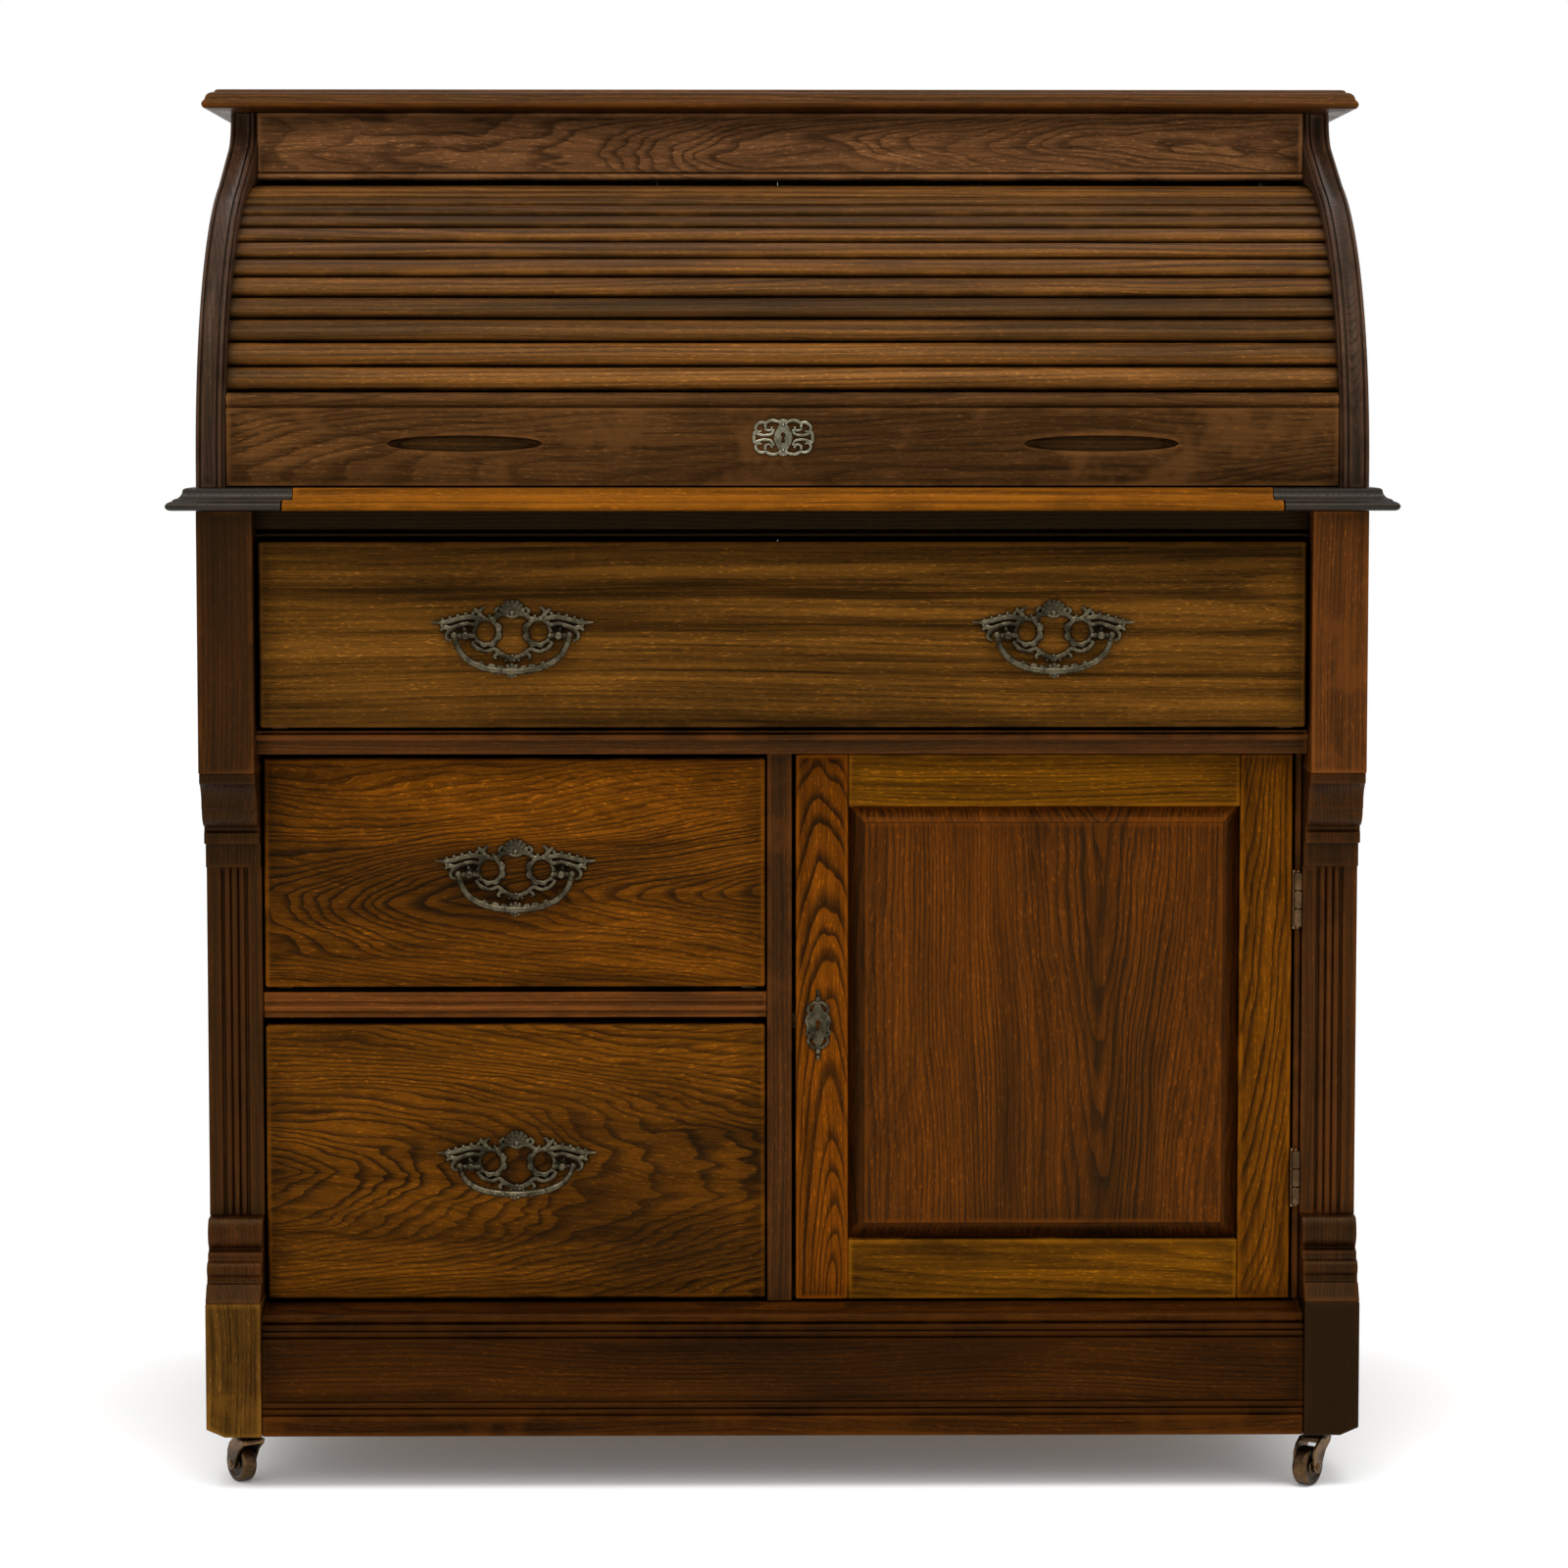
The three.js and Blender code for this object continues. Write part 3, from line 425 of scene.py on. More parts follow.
def stain(t, given, grain, bent, early, pores, fibre):
    """Clouds of stain, ring lines, streaks, pores and pale flecks."""
    cloud = t.drawn(grain, 2.6, 8.0, 3.0, 0.6)
    ground = t.mix(t.times(t.step(cloud, 0.36, 0.66), given["Clouds"]), given["Light"], given["Deep"])
    lined = t.mix(t.times(early, given["Lines"]), ground, given["Line"])
    streak = t.drawn(bent, 0.9, 85.0, 3.0, 0.65)
    band = t.times(t.math("SUBTRACT", streak, 0.5), t.times(given["Streaks"], 3.4))
    fine = t.times(t.step(fibre, 0.3, 0.7), 0.6, 0.7)
    streaked = t.scaled(lined, t.math("MAXIMUM", t.math("ADD", fine, band), 0.25))
    pored = t.mix(t.times(pores, given["Pores"]), streaked, given["Line"])
    return t.scaled(pored, t.step(t.drawn(bent, 170.0, 900.0, 1.0), 0.6, 0.72, 1.0, 2.0))


def wear_shade_and_highlight(t, given, stained, patchy):
    """Grimy toward the board's edges from handling, worn pale on arrises, painted shade in hollows, and
    painted highlights on crests that are partly worn.
    """
    off = t.vector("ABSOLUTE", t.vector("SUBTRACT", t.here(), t.attribute("board_middle")))
    inside = t.split(t.vector("SUBTRACT", t.attribute("board_half"), off))
    edge = t.math("MINIMUM", t.math("MINIMUM", *inside[:2]), inside[2])
    ragged = t.times(t.math("SUBTRACT", patchy, 0.5), -0.03, edge)
    grime = t.times(t.step(ragged, 0.0, 0.026, 1.0, 0.0), given["Grime"])
    # painted shade: occlusion darkens hollows and creases where shade falls
    crevice_shade = t.step(t.occlusion(0.016), 0.25, 0.95, 0.12, 1.0)
    crevice_shade = t.times(t.math("SUBTRACT", crevice_shade, 1.0), given["Hollows"], 1.0)
    grimed_and_shaded = t.scaled(stained, t.times(crevice_shade, t.times(grime, -0.62, 1.0)))
    worn = t.times(t.step(edge, 0.0004, 0.0016, 1.0, 0.0), t.step(patchy, 0.52, 0.66))
    rubbed_and_highlit = t.mix(t.times(worn, 0.5), grimed_and_shaded, given["Light"])
    # painted highlight, partly worn: crests found by occlusion from inside are lifted above the wood's light
    # colour
    crest = t.step(t.occlusion(0.0045, inside=True, only_local=True), 0.72, 0.96, 1.0, 0.0)
    proud = t.times(crest, t.step(patchy, 0.36, 0.6, 0.25, 1.0))
    rubbed_and_highlit = t.mix(t.times(proud, 0.6), rubbed_and_highlit, t.scaled(given["Light"], 1.5))
    return t.scaled(rubbed_and_highlit, t.math("ADD", t.attribute("board_tone", 2), 1.0))


def wood_figure():
    """Growth rings round a tilted pith, open pores, fibres, stain, grime and worn arrises, painted shade in
    hollows and painted highlights on crests, as one node group.
    """
    group = bpy.data.node_groups.new("wood_figure", "ShaderNodeTree")
    for name, kind, value in FIGURE_INPUTS:
        made = group.interface.new_socket(name, in_out="INPUT", socket_type="NodeSocket" + kind)
        if value is not None:
            made.default_value = value
    for name, kind in (("Color", "Color"), ("Roughness", "Float"), ("Height", "Float")):
        group.interface.new_socket(name, in_out="OUTPUT", socket_type="NodeSocket" + kind)
    t = Tree(group)
    given = group.nodes.new("NodeGroupInput").outputs
    grain = given["Grain"]
    bent, early = growth(t, given, grain)
    fibre = t.drawn(bent, 9.0, 520.0, 3.0, 0.6)
    pores = t.times(t.step(t.drawn(bent, 110.0, 1500.0, 1.0), 0.56, 0.68), t.times(early, 0.75, 0.25))
    patchy = t.noise(t.here(), 22.0, 3.0, 0.6)
    toned = wear_shade_and_highlight(t, given, stain(t, given, grain, bent, early, pores, fibre), patchy)
    rough = t.times(pores, 0.2, t.times(early, 0.08, t.times(patchy, 0.2, 0.26)))
    height = t.times(pores, -0.8, t.times(early, -0.35, t.times(fibre, 0.35)))
    output = group.nodes.new("NodeGroupOutput")
    for index, value in enumerate((toned, rough, height)):
        group.links.new(value, output.inputs[index])
    return group


def new_material(name):
    """A material, its node helper and its shader."""
    material = bpy.data.materials.new(name)
    material.use_nodes = True
    return material, Tree(material.node_tree), material.node_tree.nodes["Principled BSDF"]


FIGURE = wood_figure()
AMBER = (1.0, 0.6, 0.25)  # old varnish tints what it reflects


def wood(name, order, heart, slot="frame_wood", specular=0.06, tint=AMBER, **inputs):
    """Wood whose grain runs along the first axis in order, across it is the second, and into
    the board the third. heart is where the pith lies, in millimetres."""
    material, t, shader = new_material("wood_" + name)
    placed = t.vector("ADD", t.here(), t.attribute("board_shift"))
    axes = dict(zip("xyz", t.split(t.vector("SUBTRACT", placed, [c * MM for c in heart]))))
    figure = t.node("Group", node_tree=FIGURE)
    t.feed(figure.inputs["Grain"], t.add("CombineXYZ", *(axes[letter] for letter in order)))
    for key, value in inputs.items():
        t.feed(figure.inputs[key.capitalize()], colour(*value) if isinstance(value, tuple) else value)
    t.feed(shader.inputs["Base Color"], figure.outputs["Color"])
    t.feed(shader.inputs["Roughness"], figure.outputs["Roughness"])
    shader.inputs["Specular IOR Level"].default_value = specular
    shader.inputs["Specular Tint"].default_value = colour(*tint)
    t.feed(shader.inputs["Normal"], t.add("Bump", 0.35, 0.0006, None, figure.outputs["Height"]))
    WOODS[name] = material, slot


def metal(name, bright, dull, grime, roughness):
    """Cast brass: worn bright on what stands proud, with painted glints on the crests; brown and green patina
    in the hollows, deepened by painted shade from occlusion.
    """
    material, t, shader = new_material(name)
    grime = colour(*grime)
    cloudy = t.noise(t.here(), 90.0, 3.0, 0.6)
    speck = t.noise(t.here(), 700.0, 2.0)
    base = t.mix(t.step(cloudy, 0.35, 0.65), colour(*bright), colour(*dull))
    base = t.mix(t.times(t.step(speck, 0.52, 0.7), 0.6), base, grime)
    raised = t.add("NewGeometry", out=7)
    base = t.mix(t.step(raised, 0.47, 0.53, 0.8, 0.0), base, grime)
    # painted glints, partly worn: crests found by pointiness are lifted well past the bright brass colour
    base = t.mix(t.step(raised, 0.53, 0.6, 0.0, 0.75), base, colour(*(min(1.0, 2.4 * c) for c in bright)))
    # painted shade, partly patina: occlusion darkens creases toward the grime colour
    base = t.mix(t.step(t.occlusion(0.005), 0.3, 0.85, 0.93, 0.0), base, grime)
    t.feed(shader.inputs["Base Color"], base)
    shader.inputs["Metallic"].default_value = 1.0
    t.feed(shader.inputs["Roughness"], t.times(cloudy, 0.3, roughness))
    t.feed(shader.inputs["Normal"], t.add("Bump", 0.3, 0.0004, None, speck))
    return material


THREADS = 5200.0  # how fast the weave turns over, in radians a metre


def canvas_cloth():
    """The plain weave glued to the back of the slats."""
    material, t, shader = new_material("canvas")
    x, y, z = t.split(t.here())
    warp = t.math("SINE", t.times(x, THREADS))
    weft = t.math("SINE", t.times(t.math("ADD", y, z), THREADS))
    weave = t.times(t.times(warp, weft), 0.5, 0.5)
    base = t.mix(weave, colour(0.16, 0.12, 0.075), colour(0.34, 0.28, 0.2))
    base = t.mix(t.step(t.noise(t.here(), 14.0, 3.0), 0.4, 0.7, 0.0, 0.6), base, colour(0.12, 0.085, 0.05))
    t.feed(shader.inputs["Base Color"], base)
    shader.inputs["Roughness"].default_value = 0.9
    t.feed(shader.inputs["Normal"], t.add("Bump", 0.5, 0.0004, None, weave))
    return material


wood("top_drawer", "xzy", (-900, -150, 690), "drawer_wood", rings=330.0, tilt=0.012, wave=0.003, lines=0.3,
     pores=0.75, clouds=0.55, streaks=1.15, light=(0.0818, 0.031, 0.0036), deep=(0.0235, 0.0091, 0.0014))
wood("upper_left", "xzy", (-180, -165, 455), "drawer_wood", rings=330.0, tilt=0.13, wave=0.017, lines=0.85,
     pores=0.65, clouds=0.85, light=(0.1404, 0.0405, 0.0014), deep=(0.0279, 0.0088, 0.0007))
wood("lower_left", "xzy", (-560, -160, 240), "drawer_wood", rings=300.0, tilt=-0.13, wave=0.02, lines=0.85,
     pores=0.65, clouds=0.9, light=(0.1109, 0.034, 0.0014), deep=(0.0206, 0.0066, 0.0007))
wood("stile_lock", "zxy", (34, -196, -20), "drawer_wood", rings=300.0, tilt=0.12, wave=0.008, lines=0.85,
     pores=0.6, clouds=0.45, streaks=0.3, light=(0.1466, 0.0359, 0.0007), deep=(0.0583, 0.0156, 0.0007))
wood("stile_hinge", "zxy", (330, -185, 700), "drawer_wood", rings=330.0, tilt=0.12, wave=0.008, lines=0.7,
     pores=0.6, clouds=0.5, streaks=0.4, light=(0.1512, 0.0441, 0.0007), deep=(0.0567, 0.0162, 0.0007))
wood("door_rail", "xzy", (900, -160, 300), "drawer_wood", wave=0.006, lines=0.5, pores=0.6, clouds=0.7,
     light=(0.15, 0.0515, 0.0014), deep=(0.0478, 0.0156, 0.0007))
wood("panel", "zxy", (243, -163, 250), "drawer_wood", rings=270.0, tilt=0.055, wave=0.015, lines=0.85,
     pores=0.75, clouds=0.75, grime=0.3, hollows=0.3, specular=0.12, light=(0.0723, 0.0172, 0.0006),
     deep=(0.0263, 0.007, 0.0006))
wood("post", "zxy", (0, -150, 0), rings=330.0, lines=0.55, streaks=0.7, hollows=1.08,
     light=(0.0808, 0.0218, 0.0028), deep=(0.0209, 0.0059, 0.0014), line=(0.005, 0.002, 0.001),
     specular=0.16)
wood("moulding", "xzy", (0, -150, 0), rings=300.0, lines=0.5, hollows=1.08, light=(0.0756, 0.0208, 0.0028),
     deep=(0.0216, 0.0064, 0.0014), line=(0.006, 0.002, 0.001), specular=0.16)
wood("desk", "xyz", (0, 0, 700), "slide_wood", lines=0.4, clouds=0.4, grime=0.2, streaks=0.4,
     light=(0.157, 0.0481, 0.002), deep=(0.0811, 0.0244, 0.0013), line=(0.03, 0.01, 0.002))
wood("cap", "yxz", (0, 0, 690), lines=0.5, clouds=0.7, light=(0.0136, 0.0085, 0.0048),
     deep=(0.004, 0.0026, 0.0016), line=(0.004, 0.002, 0.001), specular=0.22, tint=(1.0, 0.93, 0.82))
wood("roll_side", "zyx", (380, 0, 0), tilt=0.04, wave=0.007, light=(0.036, 0.016, 0.008),
     deep=(0.008, 0.004, 0.002), line=(0.004, 0.002, 0.001), specular=0.16, tint=(1.0, 0.75, 0.5))
wood("foot", "zxy", (-380, -150, 0), tilt=0.04, wave=0.01, clouds=0.9, light=(0.115, 0.048, 0.006),
     deep=(0.036, 0.013, 0.002), line=(0.006, 0.003, 0.001))
wood("side_tall", "zyx", (360, 0, 0), tilt=0.05, wave=0.01, lines=0.7, pores=0.6,
     light=(0.088, 0.028, 0.003), deep=(0.027, 0.009, 0.001))
wood("side_wide", "yzx", (360, 0, 0), tilt=0.04, wave=0.007, pores=0.6, clouds=0.7,
     light=(0.084, 0.027, 0.003), deep=(0.027, 0.009, 0.001))
wood("slat", "xzy", (0, -120, 0), "tambour_wood", tilt=0.03, pores=0.6, clouds=0.75, grime=0.2, streaks=0.7,
     hollows=1.12, light=(0.1037, 0.0375, 0.0059), deep=(0.025, 0.009, 0.002), line=(0.008, 0.003, 0.001),
     specular=0.16)
wood("lift_rail", "xzy", (500, -200, 760), "tambour_wood", rings=300.0, tilt=0.05, wave=0.01, lines=0.5,
     clouds=0.6, light=(0.0911, 0.0361, 0.0095), deep=(0.0313, 0.0133, 0.0038), line=(0.008, 0.003, 0.001))
wood("frieze", "xzy", (60, 30, 1035), "frieze_wood", rings=330.0, tilt=0.09, wave=0.018, pores=0.4,
     clouds=0.6, light=(0.165, 0.07, 0.024), deep=(0.055, 0.022, 0.009), line=(0.012, 0.005, 0.003))
wood("top", "xyz", (0, 0, 1000), tilt=0.03, wave=0.007, lines=0.5, clouds=0.6,
     light=(0.0658, 0.0186, 0.002), deep=(0.0238, 0.0074, 0.001), line=(0.008, 0.003, 0.001), specular=0.16)
wood("plinth", "xzy", (-200, -150, 90), wave=0.009, clouds=0.9, hollows=1.08, light=(0.0333, 0.009, 0.0007),
     deep=(0.0066, 0.0018, 0.0007), line=(0.004, 0.002, 0.001))
wood("inner_x", "xzy", (0, 350, 0), "inner_wood", rings=160.0, tilt=0.03, wave=0.01, lines=0.45, pores=0.35,
     clouds=0.5, grime=0.4, light=(0.34, 0.2, 0.085), deep=(0.2, 0.11, 0.045), line=(0.1, 0.05, 0.02))
wood("inner_y", "yzx", (500, 0, 0), "inner_wood", rings=160.0, tilt=0.03, wave=0.01, lines=0.45, pores=0.35,
     clouds=0.5, grime=0.4, light=(0.34, 0.2, 0.085), deep=(0.2, 0.11, 0.045), line=(0.1, 0.05, 0.02))
wood("back", "zxy", (0, 380, 0), "inner_wood", rings=130.0, tilt=0.05, wave=0.012, lines=0.55, pores=0.35,
     clouds=0.7, light=(0.19, 0.1, 0.042), deep=(0.09, 0.045, 0.018), line=(0.035, 0.017, 0.008))
BRASS = metal("aged_brass", (0.12, 0.1, 0.06), (0.026, 0.021, 0.012), (0.01, 0.009, 0.006), 0.25)
PALE_BRASS = metal("pale_brass", (0.3, 0.28, 0.2), (0.12, 0.11, 0.07), (0.03, 0.026, 0.017), 0.22)
CASTER_BRASS = metal("caster_brass", (0.12, 0.068, 0.03), (0.045, 0.026, 0.013), (0.009, 0.006, 0.004), 0.25)
CANVAS = canvas_cloth()


# ---------------------------------------------------------------- posts
FOOT_TOP_Z, BASE_TOP_Z, CORBEL_Z, BLOCK_Z = 146, 208, 477, 552
FOOT_Y, PILASTER_Y, POST_BACK = -248, -214, -190
POST_TONES_AND_SHADE = {  # foot, base, pilaster, corbel and block, matched to the real posts; the dark right foot is painted shadow, and the other tones are partly painted light and shade
    -1: (0.0, -0.58, -0.62, -0.72, -0.38),
    1: (-0.92, -0.6, -0.36, -0.58, 0.2),
}
POST_SHIFTS = {-1: (0.3, 0.02, 0.1), 1: (-0.2, 0.02, 0.3)}


def post_foot(x, low, side):
    """A foot block's outline, with its outer lower corner cut away."""
    chamfer = [(x[0], low + 6), (x[0] + 14, low)] if side < 0 else [(x[1] - 14, low), (x[1], low + 6)]
    bottom = chamfer + [(x[1], low)] if side < 0 else [(x[0], low)] + chamfer
    return bottom + [(x[1], FOOT_TOP_Z), (x[0], FOOT_TOP_Z)]


def pilaster(x):
    """A pilaster's plan: a sunk field with three reeds."""
    middle, field, sunk = sum(x) / 2, 10.5, PILASTER_Y + 2.6
    plan = [(x[0], POST_BACK), (x[0], PILASTER_Y), (middle - field, PILASTER_Y), (middle - field + 0.8, sunk)]
    for i in (-1, 0, 1):
        plan += arc((middle + i * 5.6, sunk), 2.4, 180, 360, 10)
    return plan + [(middle + field - 0.8, sunk), (middle + field, PILASTER_Y), (x[1], PILASTER_Y),
                   (x[1], POST_BACK)]


POST_BASE = [
    (POST_BACK, FOOT_TOP_Z), (FOOT_Y + 0.5, FOOT_TOP_Z), (-239, 159.5), (-235, 160), (-235, 162),
    *arc((-230, 169.5), 7, 230, 125, 10), (-229, 176.5), (-229, 181.5), (-225, 182.5),
    *arc((-214, 196), 15, 234, 130, 12), (-217, BASE_TOP_Z), (POST_BACK, BASE_TOP_Z),
]
POST_CORBEL = [
    (POST_BACK, CORBEL_Z), (-219, CORBEL_Z), (-219, 496), (-228, 496), (-228, 504.5), (-226, 505.5),
    *arc((-226, 523), 14, 270, 180, 10), (-242, 523.5), *arc((-262, 526), 20, 0, 66, 10),
    (-254, 546), (-254, BLOCK_Z), (POST_BACK, BLOCK_Z),
]


def post(name, side):
    x, y, z = spans(name)
    pieces = {
        "foot": prism(post_foot(x, z[0], side), "y", FOOT_Y, POST_BACK),
        "base": prism(POST_BASE, "x", *x),
        "pilaster": prism(pilaster(x), "z", BASE_TOP_Z, CORBEL_Z),
        "corbel": prism(POST_CORBEL, "x", *x),
        "block": block(x, (y[0], POST_BACK), (BLOCK_Z, z[1])),
    }
    for (word, part), tone in zip(pieces.items(), POST_TONES_AND_SHADE[side]):
        grain = "foot" if word == "foot" and side < 0 else "post"
        board(f"{name}_{word}", part, grain, name, bevel=0.8, tone=tone, shift=POST_SHIFTS[side])


post("front_post_left", -1)
post("front_post_right", 1)
for node in ("rear_post_left", "rear_post_right"):
    whole_board(node, "side_tall", bevel=1.2)


# ---------------------------------------------------------------- sides and back
def side_panel(node, side):
    """A frame of four boards, a fielded panel and the bead round it."""
    x, y, z = spans(node)
    stile, foot, head, edge = 62, 100, 80, 26
    inner, outer = x if side > 0 else x[::-1]
    mid_y, mid_z = (y[0] + stile, y[1] - stile), (z[0] + foot, z[1] - head)
    name = node.replace("side_panel", "side")
    for word, part, grain in (
        ("stile_front", block(x, (y[0], mid_y[0]), z), "side_tall"),
        ("stile_rear", block(x, (mid_y[1], y[1]), z), "side_tall"),
        ("rail_top", block(x, mid_y, (mid_z[1], z[1])), "side_wide"),
        ("rail_bottom", block(x, mid_y, (z[0], mid_z[0])), "side_wide"),
    ):
        board(f"{name}_{word}", part, grain, node, bevel=0.8)
    levels = []
    for inset, depth in ((0, None), (0, 8.5), (edge, 5), (edge + 1, 3)):
        place = inner if depth is None else outer - side * depth
        levels.append((mid_y[0] + inset, mid_y[1] - inset, mid_z[0] + inset, mid_z[1] - inset, place))
    board(name + "_panel", stack(levels, "x"), "side_tall", node, bevel=0.6, tone=0.12)
    bead, corners = outer - side * 5.5, [(mid_y[i], mid_z[j]) for i, j in ((0, 0), (0, 1), (1, 1), (1, 0))]
    strips = [tube([(bead, *corners[i - 4], 3.0), (bead, *corners[i - 3], 3.0)], 12) for i in range(4)]
    board(name + "_bead", together(*strips), "side_tall", node, bevel=0, tone=-0.2)


side_panel("side_panel_left", -1)
side_panel("side_panel_right", 1)


def matchboards(node, count, tone):
    """Tongued and grooved boards with a bead down one edge of each."""
    x, (front, rear), z = spans(node)
    wide = (x[1] - x[0]) / count
    for i in range(count):
        a, b = x[0] + i * wide, x[0] + (i + 1) * wide
        plan = [
            (a, front), (a, rear - 4), (a + 1.5, rear - 2.5), *arc((a + 4.5, rear - 3), 2.8, 170, 10, 8),
            (a + 8.4, rear - 2.5), (a + 9.6, rear), (b - 1.2, rear), (b - 0.2, rear - 2), (b - 0.2, front),
        ]
        name = f"{node}_board_{i + 1}"
        own_tone = tone + random.Random(name).uniform(-0.14, 0.14)
        board(name, prism(plan, "z", *z), "back", node, bevel=0, tone=own_tone)


matchboards("lower_back_panel", 8, 0.0)
matchboards("upper_back_panel", 8, 0.1)


def profile_run(name, node, profile, grain, **options):
    board(name, prism(profile, "x", *spans(node)[0]), grain, node, **options)


def reed_pair(y, z):
    points = []
    for low in (z, z + 5):
        points += [(y, low + 0.2), *arc((y, low + 2.5), 2.3, 255, 105, 8), (y, low + 4.8)]
    return points


# three boards, one on another, with the strips at foot and head a little paler
PLINTH_STRIP = [(-192, 43), (-245, 43), (-245, 58), (-192, 58)]
PLINTH_FIELD = [
    (-192, 58.1), (-244, 58.1), *reed_pair(-242.5, 59), (-243.5, 70), (-243.5, 117),
    *reed_pair(-240.5, 118.5), (-238, 129.4), (-192, 129.4),
]
PLINTH_HEAD = [
    (-192, 129.5), (-238, 129.5), *arc((-236, 132.5), 4, 230, 110, 8), (-227, 137.5), (-218, 140),
    (-192, 140),
]
profile_run("plinth_strip", "plinth", PLINTH_STRIP, "plinth", tone=0.6, bevel=0.5)
profile_run("plinth_field", "plinth", PLINTH_FIELD, "plinth", tone=-0.08, bevel=0.5)
profile_run("plinth_head", "plinth", PLINTH_HEAD, "plinth", tone=0.4, bevel=0.5)
whole_board("bottom_board", "inner_x")


# ---------------------------------------------------------------- rails and divisions
def rail(node, profile, board_z, hidden=(0, 22), tone=0.0):
    """A moulded rail with its dust board behind it. hidden is how much each end is shortened."""
    (left, right), (_, rear), _ = spans(node)
    edge = prism(profile, "x", left + hidden[0], right - hidden[1])
    board(node + "_edge", edge, "moulding", node, bevel=0.4, tone=tone)
    front = max(y for y, _ in profile)
    board(node + "_dust_board", block((left + 1, right - 1), (front + GAP, rear), board_z), "inner_x", node)


rail("top_drawer_rail", [
    (-192, 565), (-236, 565), (-238, 568), (-238, 575), *arc((-239, 578), 2.8, 250, 110, 8), (-237, 581),
    (-237, 583), (-192, 583)], (565, 583))
rail("left_drawer_rail", [
    (-192, 360), (-207, 360), (-207, 364), *arc((-207, 367), 2.6, 260, 100, 8), (-207, 371), (-209, 373),
    (-209, 380), (-192, 380)], (360, 380), (22, 0), 0.6)
# painted shade: the under-desk rail is toned nearly black for the shadow under the desktop
rail("under_desk_rail", [
    (-192, 727.3), (-232, 727.3), *arc((-233, 731), 2.5, 250, 110, 8), (-232, 735), (-232, 749.7),
    (-192, 749.7)], (736, 749.7), tone=-0.96)
whole_board("partition", "post", tone=-0.25)
whole_board("cupboard_shelf", "inner_x")


# ---------------------------------------------------------------- desktop
TONGUE_Z = 758
UPPER_HALF, LOWER_HALF = 366, 373  # the slide is wider below than on top
DESKTOP_Z = 767.3


def desk_steps(low, high):
    """The desktop's moulding as (distance in, height): torus, fillet, cove and top fillet. It is
    cut in two at the height of the slide's tongue."""
    profile = [
        (8, low), (3.6, low + 0.1), *arc((3.8, low + 3.4), (3.8, 3.2), 260, 110, 10), (4.8, low + 7.4),
        (5.6, low + 8.4), *arc((5.6, low + 15.4), (6.2, 6.6), -80, 0, 8), (12, low + 15.8),
        (13.2, high - 0.4), (14.4, high),
    ]
    lower = [p for p in profile if p[1] < TONGUE_Z]
    upper = [p for p in profile if p[1] > TONGUE_Z + 0.1]
    return lower + [(5.1, TONGUE_Z)], [(5.2, TONGUE_Z + 0.02)] + upper


def desk_cap(node, side):
    x, y, z = spans(node)
    parts = []
    for profile, inner in zip(desk_steps(*z), (LOWER_HALF + 1.3, UPPER_HALF + 0.5)):
        ends = (inner, x[1]) if side > 0 else (x[0], -inner)
        parts.append(moulded(ends, y, profile, side < 0, side > 0))
    board(node + "_wood", together(*parts), "cap", node, bevel=0.3, angle=30)


desk_cap("desk_cap_left", -1)
desk_cap("desk_cap_right", 1)


def writing_slide():
    _, y, z = spans("writing_slide")
    steps = zip(desk_steps(*z), (LOWER_HALF, UPPER_HALF))
    part = together(*(moulded((-half, half), y, profile, 0, 0) for profile, half in steps))
    board("writing_slide_wood", part, "desk", "writing_slide", "writing_slide", bevel=0.3, angle=30)


def desk_floor():
    x, (front, rear), (low, high) = spans("desk_floor")
    part = together(
        block(x, (front, rear - 19), (DESKTOP_Z, high)),
        block((-365.5, 365.5), (70, rear), (low, DESKTOP_Z - 0.1)),
    )
    board("desk_floor_wood", part, "desk", "desk_floor", slot="inner_wood", tone=-0.3)


writing_slide()
desk_floor()

# ---------------------------------------------------------------- upper case
SIDE_RADIUS, TRACK_OUTER, TRACK_INNER, TRACK_DEPTH, SIDE_THICK = 235, 225.2, 212.2, 7.5, 22
CROWN_Y = -22


def roll_edge_path(top):
    """The front edge of a roll side as (y, z, inward y, inward z), from the desktop up."""
    points = [(TRACK.y - SIDE_RADIUS, DESKTOP_Z)] + arc((TRACK.y, TRACK.z), SIDE_RADIUS, 180, 110, 36)
    points += arc((CROWN_Y - 30, 1060), 30, -62, 0, 8) + [(CROWN_Y, top)]
    path = []
    for i, (y, z) in enumerate(points):
        a, b = points[max(i - 1, 0)], points[min(i + 1, len(points) - 1)]
        dy, dz = b[0] - a[0], b[1] - a[1]
        length = hypot(dy, dz)
        path.append((y, z, dz / length, -dy / length))
    return path


# across the board's edge from its outer face: (distance in from the face, depth)
ROLL_EDGE = [
    (0, 3.4), (0.3, 1.2), (1.4, 0.2), (2.6, 0.4), (3.3, 2.4), (4.0, 2.6), (4.6, 0.6),
    *[(4.6 + 10.4 * i / 8, 0.6 + 2.0 * sin(pi * i / 8)) for i in range(1, 9)],
    (15.4, 2.4), (16.2, 2.6), *arc((18.0, 1.7), 1.6, -170, -10, 8),
    (20.2, 2.6), (20.8, 1.6), (21.6, 1.2), (SIDE_THICK, 2.6),
]


